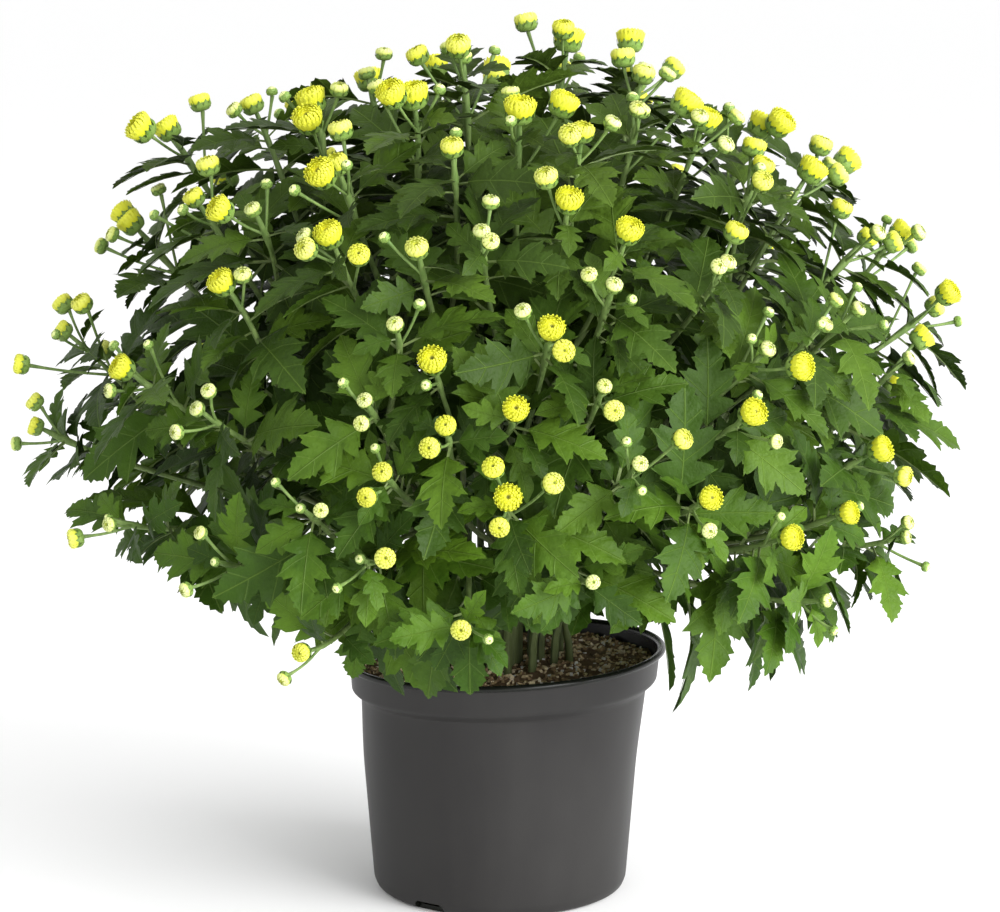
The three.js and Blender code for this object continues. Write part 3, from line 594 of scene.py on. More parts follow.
def grow_side_bud(shoot, owner, draw, distance, around, height):
    node = shoot["length"] - distance
    root, along = on_path(shoot["path"], node)
    stage = bud_stage(draw, height, False)
    length = distance + STALK_LEAST + STALK_SPREAD * draw()
    u, v = across(along)
    for attempt in range(BUD_TRIES):
        angle = around + attempt * BUD_TURN
        lean = u * math.cos(angle) + v * math.sin(angle)
        direction = unit(along + lean * STALK_LEAN + outward(root) * STALK_OUTWARD)
        base = root + direction * length
        axis = unit(direction + outward(base) * BUD_OUTWARD)
        radius = bud_radius(stage, base)
        centre, room = bud_space(base, axis, radius)
        points = np.array([root + (base - root) * share for share in STALK_SHARES] + [centre])
        radii = np.array([STALK_RADIUS + STALK_CLEARANCE] * len(STALK_SHARES) + [room])
        if space.is_clear(points, radii, owner, root):
            space.occupy(points, radii, owner)
            return {"node": node, "root": root, "stage": stage, "radius": radius,
                    "direction": direction, "base": base, "axis": axis}
    return None


def grow_buds(stems):
    for owner, stem in enumerate(stems):
        for order, shoot in enumerate(stem["shoots"]):
            draw = random_source(owner * 40 + order * 7 + 1)
            tip, end = on_path(shoot["path"], shoot["length"])
            stage = bud_stage(draw, tip[2], True)
            axis = unit(end + outward(tip) * TIP_OUTWARD)
            radius = bud_radius(stage, tip)
            shoot["tip_bud"] = {"stage": stage, "radius": radius, "base": tip, "axis": axis}
            centre, room = bud_space(tip, axis, radius)
            space.occupy(centre[None, :], room, owner)
            around = draw() * TURN
            for k, distance in enumerate(BUD_NODES[:stem["plan"][order][3] - 1]):
                bud = grow_side_bud(shoot, owner, draw, distance, around + k * GOLDEN_ANGLE, tip[2])
                if bud:
                    shoot["buds"].append(bud)


# Growth of the leaves

def leaf_frame(root, direction, droop, roll, length):
    face = outward(root) * LEAF_FACE[0] + UP * LEAF_FACE[1]
    along = unit(direction)
    level = unit(np.cross(face, along))
    side = level * math.cos(roll) + np.cross(along, level) * math.sin(roll)
    return {"root": root, "along": along, "side": side, "normal": np.cross(along, side),
            "droop": droop, "length": length}


def place_on_leaf(leaf, x, y, height):
    x, y, height = (np.asarray(value)[..., None] for value in (x, y, height))
    length = leaf["length"]
    return (leaf["root"] + leaf["along"] * x * length + leaf["side"] * y * length
            + leaf["normal"] * height)


def arch(leaf, x, y):
    fold = LEAF_FOLD * np.abs(y) - LEAF_CURL * y * y
    return leaf["length"] * (LEAF_LIFT * x - leaf["droop"] * x * x + fold)


def leaf_points(leaf):
    stations = math.ceil(leaf["length"] / CLEARANCE_STEP)
    places = []
    for i in range(1, stations + 1):
        x = i / stations
        width = np.interp(x, *zip(*LEAF_ENVELOPE))
        half = math.ceil(width * leaf["length"] / CLEARANCE_STEP)
        places += [(x, j / half * width if half else 0) for j in range(-half, half + 1)]
    x, y = np.array(places).T
    return place_on_leaf(leaf, x, y, arch(leaf, x, y))


def grow_leaf(owner, shoot, distance, full_length, draw, turn, clearance, tries):
    node = shoot["length"] - distance
    taken = any(abs(branch["node"] - node) < NODE_SPACING for branch in shoot["branches"])
    if node < 2 * NODE_SPACING or taken:
        return
    root, along = on_path(shoot["path"], node)
    start = draw() * TURN
    size = full_length * mix(*LEAF_SIZE, draw())
    droop = mix(*LEAF_DROOP, draw())
    roll = LEAF_ROLL * (draw() + draw() - 1)
    sag = LEAF_SAG[1] * outward(root)[2] - LEAF_SAG[0]
    u, v = across(along)
    for extra, scale in tries:
        angle = start + turn + extra
        direction = along * LEAF_ALONG + u * math.cos(angle) + v * math.sin(angle) + UP * sag
        leaf = leaf_frame(root, direction, droop, roll, size * scale)
        points = leaf_points(leaf)
        if is_barred(points):
            continue
        if space.is_clear(points, clearance, owner, root):
            space.occupy(points, clearance, owner)
            leaf["node"] = node
            leaf["tone"] = draw()
            leaf["phase"] = draw() * TURN
            shoot["leaves"].append(leaf)
            return


def grow_leaves(stems):
    for place, (distance, length) in enumerate(LEAF_NODES):
        for owner, stem in enumerate(stems):
            for order, shoot in enumerate(stem["shoots"]):
                if (2 * place + 3 * order + owner) % LEAF_TURNS < LEAVES_EACH_TURN:
                    draw = random_source(owner * 211 + order * 37 + place * 5 + 3)
                    turn = place * GOLDEN_ANGLE
                    grow_leaf(owner, shoot, distance, length, draw, turn, LEAF_CLEARANCE, LEAF_TRIES)


def grow_more_leaves(stems):
    left_out = [(distance + LEFT_OUT_STEP, length) for distance, length in LEAF_NODES]
    for place, (distance, length) in enumerate(left_out + SMALL_LEAF_NODES + INNER_LEAF_NODES):
        for owner, stem in enumerate(stems):
            for order, shoot in enumerate(stem["shoots"]):
                draw = random_source(owner * 307 + order * 53 + place * 11 + 5)
                turn = (place + 0.5) * GOLDEN_ANGLE
                grow_leaf(owner, shoot, distance, length, draw, turn, FILL_CLEARANCE, FILL_TRIES)


# Meshes

def add_object(name, data):
    added = bpy.data.objects.new(name, data)
    bpy.context.scene.collection.objects.link(added)
    return added


class Pieces:
    """Gathers triangles with a material number, a tone and flat coordinates for each point."""

    def __init__(self):
        self.points = []
        self.triangles = []
        self.materials = []
        self.tones = []
        self.flats = []
        self.count = 0

    def add(self, points, triangles, material, tone, flat=None):
        """tone is three values, each of them one number for all points or one for each."""
        self.points.append(points)
        self.triangles.append(triangles + self.count)
        self.materials.append(np.full(len(triangles), material))
        self.tones.append(np.column_stack([np.broadcast_to(value, len(points)) for value in tone]))
        self.flats.append(np.zeros((len(points), 2)) if flat is None else flat)
        self.count += len(points)

    def build(self, name, materials, sharp_angle=60):
        points = np.concatenate(self.points) * MILLIMETRE
        triangles = np.concatenate(self.triangles)
        tones = np.concatenate(self.tones)
        flats = np.concatenate(self.flats)
        mesh = bpy.data.meshes.new(name)
        mesh.vertices.add(len(points))
        mesh.vertices.foreach_set("co", points.ravel())
        mesh.loops.add(triangles.size)
        mesh.loops.foreach_set("vertex_index", triangles.ravel().astype(np.int32))
        mesh.polygons.add(len(triangles))
        mesh.polygons.foreach_set("loop_start", np.arange(0, triangles.size, 3, dtype=np.int32))
        mesh.polygons.foreach_set("material_index", np.concatenate(self.materials).astype(np.int32))
        mesh.polygons.foreach_set("use_smooth", np.ones(len(triangles), dtype=bool))
        mesh.update(calc_edges=True)
        layer = mesh.uv_layers.new(name="flat")
        layer.data.foreach_set("uv", flats[triangles.ravel()].ravel())
        colours = mesh.color_attributes.new(name="tone", type="FLOAT_COLOR", domain="POINT")
        colours.data.foreach_set("color", np.column_stack([tones, np.ones(len(tones))]).ravel())
        mesh.set_sharp_from_angle(angle=math.radians(sharp_angle))
        for material in materials:
            mesh.materials.append(material)
        return add_object(name, mesh)


def grid_triangles(rows, columns, closed):
    """Triangles of a grid of points, whose last column joins its first one if it is closed."""
    wide = columns if closed else columns - 1
    i, j = np.meshgrid(np.arange(rows - 1), np.arange(wide), indexing="ij")
    a = (i * columns + j).ravel()
    b = (i * columns + (j + 1) % columns).ravel()
    return np.concatenate([np.column_stack([a, b, b + columns]),
                           np.column_stack([a, b + columns, a + columns])])


def closed_rings(rings, ends, sides):
    """Rings of points joined to a closed surface, with a point at either end."""
    count = len(rings)
    here = np.arange(sides)
    after = (here + 1) % sides
    last = (count - 1) * sides
    caps = [np.column_stack([after, here, np.full(sides, count * sides)]),
            np.column_stack([last + here, last + after, np.full(sides, count * sides + 1)])]
    points = np.concatenate([*rings, ends])
    return points, np.concatenate([grid_triangles(count, sides, True), *caps])


def tube(path, radii, sides, guide=None):
    """A closed tube along a path, with its ends drawn to a point. Anticlockwise rings face out."""
    steps = np.gradient(path, axis=0)
    angles = np.arange(sides) * TURN / sides
    rings = []
    for centre, step, radius in zip(path, steps, radii):
        guide, other = across(unit(step), guide)
        rings.append(centre + radius * (np.cos(angles)[:, None] * guide
                                        + np.sin(angles)[:, None] * other))
    return closed_rings(rings, path[[0, -1]], sides)


# Leaves as meshes

def leaf_stations(detail, starts):
    """Where the cross lines of a blade leave the rib."""
    if detail == "plain":
        return starts
    if detail == "small":
        return starts[SMALL_ROWS]
    stations = [starts[0]]
    for a, b in zip(starts[:-1], starts[1:]):
        parts = max(1, round((b - a) / ROW_SPACING))
        stations += [a + (b - a) * (k + 1) / parts for k in range(parts)]
    return np.array(stations)


def blade_triangles(upper, lower, columns):
    triangles = []
    for grid, order in ((upper, (0, 1, 2)), (lower, (0, 2, 1))):
        for i in range(len(grid) - 1):
            for j in range(2 * columns):
                a, b, c, d = grid[i, j], grid[i, j + 1], grid[i + 1, j + 1], grid[i + 1, j]
                corners = [(a, b, d), (b, c, d)] if j < columns else [(a, b, c), (a, c, d)]
                for corner in corners:
                    if len(set(corner)) == 3:
                        triangles.append([corner[k] for k in order])
    return np.array(triangles)


def leaf_template(detail, columns):
    """Flat coordinates of a blade's grid and its triangles, above and below."""
    outline = np.array(OUTLINE)
    starts = outline[:, 0] - LINE_SLOPE * outline[:, 1]
    stations = leaf_stations(detail, starts)
    widths = np.interp(stations, starts, outline[:, 1])
    if detail == "fine":
        teeth = TOOTH * (-1.0) ** np.arange(len(stations))
        widths[2:-2] += np.minimum(teeth, TOOTH_LIMIT * widths)[2:-2]
    shares = np.linspace(-1, 1, 2 * columns + 1)
    y = widths[:, None] * shares[None, :]
    x = stations[:, None] + LINE_SLOPE * np.abs(y)
    rows, wide = x.shape
    upper = np.arange(rows * wide).reshape(rows, wide)
    upper[-1, :] = upper[-1, 0]
    lower = upper.copy()
    inner = [(i, j) for i in range(1, rows - 1) for j in range(1, wide - 1)]
    for number, (i, j) in enumerate(inner):
        lower[i, j] = rows * wide + number
    lift = np.ones((rows, wide))
    lift[[0, -1], :] = 0
    lift[:, [0, -1]] = 0
    select = [i * wide + j for i, j in inner]
    x, y, lift = x.ravel(), y.ravel(), lift.ravel()
    return {"x": np.concatenate([x, x[select]]), "y": np.concatenate([y, y[select]]),
            "lift": np.concatenate([lift, -lift[select]]),
            "triangles": blade_triangles(upper, lower, columns)}


FINE_LEAF = leaf_template("fine", 2)
PLAIN_LEAF = leaf_template("plain", 1)
SMALL_LEAF = leaf_template("small", 2)


def relief(leaf, x, y):
    """Creases along the veins, a puckered blade between them and waves towards the edge."""
    along = (x - VEIN_SLOPE * np.abs(y) - FIRST_VEIN) / VEIN_SPACING
    to_vein = np.abs(along - np.round(along))
    crease = -CREASE_DEPTH * np.exp(-(to_vein / CREASE_WIDTH) ** 2) * smoothstep(np.abs(y), 0, CREASE_START)
    rib = -RIB_DEPTH * np.exp(-(y / RIB_WIDTH) ** 2)
    wave = WAVE * np.abs(y) * np.sin(WAVES * x + WAVE_SHIFT * np.sign(y) + leaf["phase"])
    curl = -EDGE_CURL * leaf["tone"] * np.maximum(np.abs(y) - EDGE_START, 0) ** 2
    return leaf["length"] * (crease + rib + wave + curl)


def share_between(value, ends):
    return np.clip((value - ends[0]) / (ends[1] - ends[0]), 0, 1)


def add_leaf(pieces, leaf, below_tip):
    template = PLAIN_LEAF if below_tip > INNER_DEPTH else FINE_LEAF
    if leaf["length"] < SMALL_LENGTH:
        template = SMALL_LEAF
    x, y, lift = template["x"], template["y"], template["lift"]
    height = arch(leaf, x, y) + relief(leaf, x, y) + lift * BLADE_THICKNESS / 2
    points = place_on_leaf(leaf, x, y, height)
    # Painted shade: the nearer a leaf's root is to the crown, the darker its painted colour
    painted_shade_reach_share = share_between(np.linalg.norm(leaf["root"] - CROWN), PAINTED_SHADE_REACH)
    # Painted shade: the higher a leaf's root, the darker its painted colour
    high = share_between(leaf["root"][2], PAINTED_SHADE_HEIGHT)
    tone = (leaf["tone"], painted_shade_reach_share, high)
    pieces.add(points, template["triangles"], LEAF, tone, np.column_stack([x, y + 0.5]))
    share = np.linspace(0, RIB_END, RIB_POINTS)
    under = np.where(share > PETIOLE, RIB_OFFSET, 0)
    zero = np.zeros_like(share)
    rib = place_on_leaf(leaf, share, zero, arch(leaf, share, zero) + relief(leaf, share, zero) + under)
    thick = RIB_GROWTH * leaf["length"] + RIB_RADIUS
    radii = np.interp(share, RIB_SHARES, [thick, thick * 0.9, thick * 0.55, RIB_TIP])
    pieces.add(*tube(rib, radii, RIB_SIDES, leaf["side"]), STEM, (0, RIB_LIT_SHARE, 0))


# Stems as meshes

def stem_path(shoot, foot=None):
    path = shoot["path"]
    if foot is not None:
        path = np.vstack([foot, path])
    lengths = np.concatenate([[0], np.cumsum(np.linalg.norm(np.diff(path, axis=0), axis=1))])
    even = np.linspace(0, lengths[-1], STEM_RINGS)
    return np.column_stack([np.interp(even, lengths, path[:, k]) for k in range(3)]), even


def add_shoot(pieces, stem, shoot):
    main = shoot["parent"] is None
    foot = stem["foot"] if main else None
    path, even = stem_path(shoot, foot)
    thick = STEM_RADIUS if main else SHOOT_RADIUS
    share = even / even[-1]
    radii = SLIMMER * mix(thick, TIP_RADIUS, share)
    offset = even[-1] - shoot["length"]
    nodes = [leaf["node"] for leaf in shoot["leaves"]] + [bud["node"] for bud in shoot["buds"]]
    for node in nodes:
        radii = radii * (1 + NODE_SWELLING * np.exp(-((even - offset - node) / NODE_LENGTH) ** 2))
    # Painted shade: each stem is painted darker towards its foot
    lit_share = [*np.repeat(mix(SHADED_FOOT_TONE, 1, share), STEM_SIDES), SHADED_FOOT_TONE, 1]
    pieces.add(*tube(path, radii, STEM_SIDES), STEM, (0, lit_share, 0))


def add_stalk(pieces, bud, phase):
    share = np.linspace(0, 1, STALK_RINGS)[:, None]
    bend = np.cross(bud["direction"], UP) * math.sin(phase) + UP * STALK_SINK
    path = bud["root"] + (bud["base"] - bud["root"]) * share + bend * STALK_BEND * np.sin(math.pi * share)
    radii = np.interp(share.ravel(), *STALK_PROFILE)
    pieces.add(*tube(path, radii, STEM_SIDES), STEM, (0, 1.0, 0))


# Blooms as meshes, where 1 is the bloom's radius and the stalk ends at the origin

def arc_path(angle, start, belly, tip, rows):
    """A curve in an upright plane through the axis, from start past belly to tip."""
    start, belly, tip = np.array(start), np.array(belly), np.array(tip)
    control = 2 * belly - (start + tip) / 2
    t = np.linspace(0, 1, rows)[:, None]
    plane = (1 - t) ** 2 * start + 2 * t * (1 - t) * control + t * t * tip
    tangent = unit_rows(2 * (1 - t) * (control - start) + 2 * t * (tip - control))
    out = np.array([math.cos(angle), math.sin(angle), 0])
    path = plane[:, :1] * out + plane[:, 1:] * UP
    normal = tangent[:, 1:] * out - tangent[:, :1] * UP
    return path, np.array([-math.sin(angle), math.cos(angle), 0]), normal


def unit_rows(rows):
    return rows / np.linalg.norm(rows, axis=1)[:, None]


def strap(path, side, normal, widths, ridge):
    """A closed petal or scale with three edges: left, a ridge on its outer face, and right."""
    half = widths[:, None] / 2 * side
    rings = np.stack([path - half, path + half, path + normal * ridge], axis=1)
    last = 3 * (len(path) - 1)
    ends = np.array([[0, 2, 1], [last, last + 1, last + 2]])
    return rings.reshape(-1, 3), np.concatenate([grid_triangles(len(path), 3, True), ends])


def whorl(target, spec, order, taper, spread, ridge, rows, draw):
    count, start, belly, tip = spec
    for k in range(count):
        angle = (k + 0.5 * order + PLACE_SPREAD * draw()) * TURN / count
        ragged = TIP_SPREAD[0] * (draw() - 0.5)
        end = (tip[0] + ragged, tip[1] + TIP_SPREAD[1] * (draw() - 0.5))
        path, side, normal = arc_path(angle, start, belly, end, rows)
        share = np.linspace(0, 1, rows)
        reach = max(start[0], belly[0], tip[0])
        widths = spread * TURN * reach / count * np.interp(share, *taper)
        outer = path @ [math.cos(angle), math.sin(angle), 0]
        widths = np.minimum(widths, WIDEST * spread * TURN * outer / count)
        points, triangles = strap(path, side, normal, widths, ridge)
        target.append((points, triangles, draw(), np.repeat(share, 3)))


def bloom_template(stage, seed):
    form = BLOOMS[stage]
    draw = random_source(seed)
    petals, scales = [], []
    for order, spec in enumerate(form["petals"]):
        rows = 4 if order < 3 else 3
        whorl(petals, spec, order, PETAL_TAPER, PETAL_SPREAD, PETAL_RIDGE, rows, draw)
    for order, spec in enumerate(form["scales"]):
        whorl(scales, spec, order, SCALE_TAPER, SCALE_SPREAD, SCALE_RIDGE, 4, draw)
    core = form["core"]
    profile = [(0, 0), *core, (0, core[-1][1] - 0.03)]
    points, triangles = turned(np.array(profile), CORE_SIDES)
    places = np.arange(1, len(core) + 1) / (len(core) + 1)
    place = np.concatenate([np.repeat(places, CORE_SIDES), [0, 1]])
    return petals, scales, (points, triangles, place)


def bloom_variants():
    return [[bloom_template(stage, 17 * stage + variant + 2) for variant in range(VARIANTS)]
            for stage in range(len(BLOOMS))]


def add_bloom(pieces, bud, variants, draw):
    stage = bud["stage"]
    petals, scales, core = variants[stage][int(draw() * (VARIANTS - 0.001))]
    size = bud["radius"] * (LEAST_SIZE + SIZE_SPREAD * draw())
    u, v = across(bud["axis"])
    spin = draw() * TURN
    x_axis = u * math.cos(spin) + v * math.sin(spin)
    turn = np.array([x_axis, np.cross(bud["axis"], x_axis), bud["axis"]])
    openness = min(max(1 - stage / 3 + OPENNESS_SPREAD * (draw() - 0.5), 0), 1)
    for kind, straps in ((PETAL, petals), (CALYX, scales)):
        for points, triangles, own, share in straps:
            pieces.add(bud["base"] + (points * size) @ turn, triangles, kind, (own, share, openness))
    points, triangles, place = core
    pieces.add(bud["base"] + (points * size) @ turn, triangles, CORE, (0, place, openness))


# Pot as a mesh

def pot_warp(points):
    amount = smoothstep(points[:, 2], WARP_START, POT_HEIGHT)
    warped = points.copy()
    warped[:, 0] += RIM_SHIFT * amount
    warped[:, 2] += points[:, 0] * RIM_TILT * amount
    return warped


def body_radius(z):
    top = POT_HEIGHT - LIP_HEIGHT - COLLAR_HEIGHT - SHOULDER_HEIGHT
    return mix(BODY_FOOT_RADIUS, BODY_TOP_RADIUS, (z - FOOT_ROUNDING) / (top - FOOT_ROUNDING))


def rounded(profile, radius):
    """A profile whose corners are cut to arcs of up to a given radius."""
    profile = np.array(profile, dtype=float)
    points = [profile[0]]
    for before, corner, after in zip(profile[:-2], profile[1:-1], profile[2:]):
        back, ahead = before - corner, after - corner
        reach = min(radius, 0.45 * np.linalg.norm(back), 0.45 * np.linalg.norm(ahead))
        start = corner + unit(back) * reach
        end = corner + unit(ahead) * reach
        for t in np.linspace(0, 1, CORNER_STEPS):
            points.append((1 - t) ** 2 * start + 2 * t * (1 - t) * corner + t * t * end)
    points.append(profile[-1])
    return np.array(points)


def turned(profile, sides):
    """A closed body of revolution whose profile starts and ends on the axis."""
    angles = np.arange(sides) * TURN / sides
    rings = [np.column_stack([np.cos(angles) * radius, np.sin(angles) * radius, np.full(sides, height)])
             for radius, height in profile[1:-1]]
    ends = np.array([[0, 0, profile[0][1]], [0, 0, profile[-1][1]]])
    return closed_rings(rings, ends, sides)


def notch_cutter(angle):
    mesh = bpy.data.meshes.new("notch")
    half_width, half_depth = NOTCH_WIDTH / 2, NOTCH_DEPTH / 2
    shape = [(-half_width, -10), (half_width, -10), (half_width, NOTCH_HEIGHT - NOTCH_CORNER),
             (half_width - NOTCH_CORNER, NOTCH_HEIGHT), (NOTCH_CORNER - half_width, NOTCH_HEIGHT),
             (-half_width, NOTCH_HEIGHT - NOTCH_CORNER)]
    points = [(x, y - BODY_FOOT_RADIUS, z) for y in (-half_depth, half_depth) for x, z in shape]
    count = len(shape)
    faces = [tuple(range(count)), tuple(range(2 * count - 1, count - 1, -1))]
    faces += [(i, i + count, (i + 1) % count + count, (i + 1) % count) for i in range(count)]
    a = math.radians(angle)
    placed = [((x * math.cos(a) - y * math.sin(a)) * MILLIMETRE,
               (x * math.sin(a) + y * math.cos(a)) * MILLIMETRE, z * MILLIMETRE) for x, y, z in points]
    mesh.from_pydata(placed, [], faces)
    return add_object("notch", mesh)


def make_pot(materials):
    lip_base = POT_HEIGHT - LIP_HEIGHT
    collar_base = lip_base - COLLAR_HEIGHT
    body_top = collar_base - SHOULDER_HEIGHT
    inside = COLLAR_RADIUS - POT_WALL
    middle = [(body_radius(z), z) for z in np.linspace(20, body_top - 12, 12)]
    inner = [(radius - POT_WALL, z) for radius, z in reversed(middle)]
    profile = [
        (0, 0), (BODY_FOOT_RADIUS - FOOT_ROUNDING, 0),
        (BODY_FOOT_RADIUS - 0.3 * FOOT_ROUNDING, 0.3 * FOOT_ROUNDING),
        (BODY_FOOT_RADIUS, FOOT_ROUNDING), *middle, (BODY_TOP_RADIUS, body_top),
        (COLLAR_RADIUS - 1.2, collar_base), (COLLAR_RADIUS, lip_base), (RIM_RADIUS, lip_base + 0.6),
        (RIM_RADIUS, POT_HEIGHT - 1.4), (RIM_RADIUS - 1.6, POT_HEIGHT), (inside, POT_HEIGHT - 1.2),
        (inside - 1.2, collar_base - 1), (BODY_TOP_RADIUS - POT_WALL, body_top - 1), *inner,
        (BODY_FOOT_RADIUS - POT_WALL - 0.3, FOOT_ROUNDING),
        (BODY_FOOT_RADIUS - FOOT_ROUNDING, FLOOR_THICKNESS), (0, FLOOR_THICKNESS),
    ]
    points, triangles = turned(rounded(profile, POT_CORNER), POT_SIDES)
    pieces = Pieces()
    lip = (points[:, 2] > lip_base + 0.3).astype(float)
    pieces.add(pot_warp(points), triangles, 0, (lip, 0, 0))
    pot = pieces.build("pot_shell", materials, 40)
    for angle in NOTCH_ANGLES:
        cutter = notch_cutter(angle)
        cut = pot.modifiers.new("notch", "BOOLEAN")
        cut.operation = "DIFFERENCE"
        cut.solver = "EXACT"
        cut.object = cutter
        with bpy.context.temp_override(object=pot, active_object=pot, selected_objects=[pot]):
            bpy.ops.object.modifier_apply(modifier=cut.name)
        bpy.data.objects.remove(cutter)
    return pot


# Soil as a mesh

def soil_ground(x, y):
    level = soil_height(np.hypot(x, y))
    bumps = (1.1 * np.sin(0.19 * x + 1.3) * np.sin(0.23 * y + 0.4)
             + 0.6 * np.sin(0.51 * x + 0.37 * y) + 0.35 * np.sin(0.9 * y - 0.7 * x))
    return level + bumps - 0.6


def make_soil(materials):
    inset = POT_WALL + SEAT_GAP
    collar_base = POT_HEIGHT - LIP_HEIGHT - COLLAR_HEIGHT
    edge = COLLAR_RADIUS - inset - 1.6
    profile = [
        (0, FLOOR_THICKNESS + SEAT_GAP),
        (BODY_FOOT_RADIUS - FOOT_ROUNDING - 2, FLOOR_THICKNESS + SEAT_GAP),
        (BODY_FOOT_RADIUS - inset - 1.5, FOOT_ROUNDING + 2),
        (body_radius(WARP_START) - inset - 0.7, WARP_START),
        (BODY_TOP_RADIUS - inset - 0.7, collar_base - SHOULDER_HEIGHT), (edge, collar_base + 1.5),
    ]
    profile += [(edge * share, POT_HEIGHT - SOIL_DROP) for share in np.linspace(1, 0, SOIL_RINGS)]
    points, triangles = turned(np.array(profile, dtype=float), SOIL_SIDES)
    surface = points[:, 2] >= POT_HEIGHT - SOIL_DROP - 0.01
    points[surface, 2] = soil_ground(points[surface, 0], points[surface, 1])
    pieces = Pieces()
    pieces.add(pot_warp(points), triangles, 0, (0.1, 0, 0))
    add_crumbs(pieces, edge)
    return pieces.build("soil_top", materials, 50)


CUBE = np.array([[x, y, z] for x in (-1, 1) for y in (-1, 1) for z in (-1, 1)], dtype=float)
CUBE_TRIANGLES = np.array([
    [0, 1, 3], [0, 3, 2], [4, 6, 7], [4, 7, 5], [0, 4, 5], [0, 5, 1],
    [2, 3, 7], [2, 7, 6], [0, 2, 6], [0, 6, 4], [1, 5, 7], [1, 7, 3],
])


def add_crumbs(pieces, edge):
    """Crumbs of peat, chips of bark and white grains, as cut stones lying on the ground."""
    draws = np.random.default_rng(7)
    for _ in range(CRUMBS):
        angle = draws.random() * TURN
        reach = (edge - 2) * math.sqrt(draws.random())
        x, y = reach * math.cos(angle), reach * math.sin(angle)
        kind = draws.random()
        if kind < PEAT_SHARE:
            sizes = draws.uniform(*PEAT_SIZES, 3)
            tone = 0.1 + 0.25 * draws.random()
        elif kind < BARK_SHARE:
            sizes = draws.uniform(*BARK_SIZES, 3) * BARK_PROPORTIONS
            tone = 0.55 + 0.35 * draws.random()
        else:
            sizes = draws.uniform(*GRAIN_SIZES, 3)
            tone = 0.95
        corners = CUBE * sizes * draws.uniform(0.55, 1.0, (8, 3))
        tilt = draws.normal(0, 0.5, 2)
        spin = draws.random() * TURN
        axis_x = unit(np.array([math.cos(spin), math.sin(spin), tilt[0]]))
        axis_y = unit(np.cross([0, tilt[1], 1.0], axis_x))
        corners = corners @ np.array([axis_x, axis_y, np.cross(axis_x, axis_y)])
        place = np.array([x, y, soil_ground(x, y) + 0.25 * sizes[2]])
        pieces.add(pot_warp(corners + place), CUBE_TRIANGLES, 0, (tone, 0, 0))


# Materials

class Nodes:
    """A short way to write a material's node tree."""

    def __init__(self, name):
        self.material = bpy.data.materials.new(name)
        self.material.use_nodes = True
        self.tree = self.material.node_tree
        self.shader = self.tree.nodes["Principled BSDF"]

    def new(self, kind):
        return self.tree.nodes.new("ShaderNode" + kind)

    def put(self, target, value):
        if isinstance(value, bpy.types.NodeSocket):
            self.tree.links.new(value, target)
        else:
            target.default_value = (*value, 1) if isinstance(value, tuple) else value

    def math(self, operation, a, b=0.0, clamp=False):
        node = self.new("Math")
        node.operation = operation
        node.use_clamp = clamp
        for socket, value in zip(node.inputs, (a, b)):
            self.put(socket, value)
        return node.outputs[0]

    def times(self, a, b):
        return self.math("MULTIPLY", a, b)

    def plus(self, a, b):
        return self.math("ADD", a, b)

    def minus(self, a, b, clamp=False):
        return self.math("SUBTRACT", a, b, clamp)

    def ramp(self, value, stops):
        node = self.new("ValToRGB")
        elements = node.color_ramp.elements
        while len(elements) < len(stops):
            elements.new(0.5)
        for element, (place, colour) in zip(elements, stops):
            element.position = place
            element.color = (*colour, 1)
        self.put(node.inputs[0], value)
        return node.outputs[0]

    def blend(self, share, a, b, kind="MIX"):
        node = self.new("Mix")
        node.data_type = "RGBA"
        node.blend_type = kind
        self.put(node.inputs[0], share)
        self.put(node.inputs[6], a)
        self.put(node.inputs[7], b)
        return node.outputs[2]

    def noise(self, scale, detail, stretch=(1, 1, 1)):
        place = self.new("TexCoord")
        mapping = self.new("Mapping")
        mapping.inputs["Scale"].default_value = stretch
        self.tree.links.new(place.outputs["Object"], mapping.inputs[0])
        node = self.new("TexNoise")
        node.inputs["Scale"].default_value = scale
        node.inputs["Detail"].default_value = detail
        node.inputs["Roughness"].default_value = 0.55
        self.tree.links.new(mapping.outputs[0], node.inputs["Vector"])
        return node.outputs[0]

    def tone(self):
        node = self.new("VertexColor")
        node.layer_name = "tone"
        split = self.new("SeparateColor")
        self.tree.links.new(node.outputs[0], split.inputs[0])
        return split.outputs

    def flat(self):
        node = self.new("UVMap")
        node.uv_map = "flat"
        split = self.new("SeparateXYZ")
        self.tree.links.new(node.outputs[0], split.inputs[0])
        return split.outputs

    def bump(self, height, strength, distance):
        node = self.new("Bump")
        node.inputs["Strength"].default_value = strength
        node.inputs["Distance"].default_value = distance
        self.put(node.inputs["Height"], height)
        self.put(self.shader.inputs["Normal"], node.outputs[0])

    def finish(self, colour, roughness, specular):
        self.put(self.shader.inputs["Base Color"], colour)
        self.put(self.shader.inputs["Roughness"], roughness)
        self.shader.inputs["Specular IOR Level"].default_value = specular
        return self.material


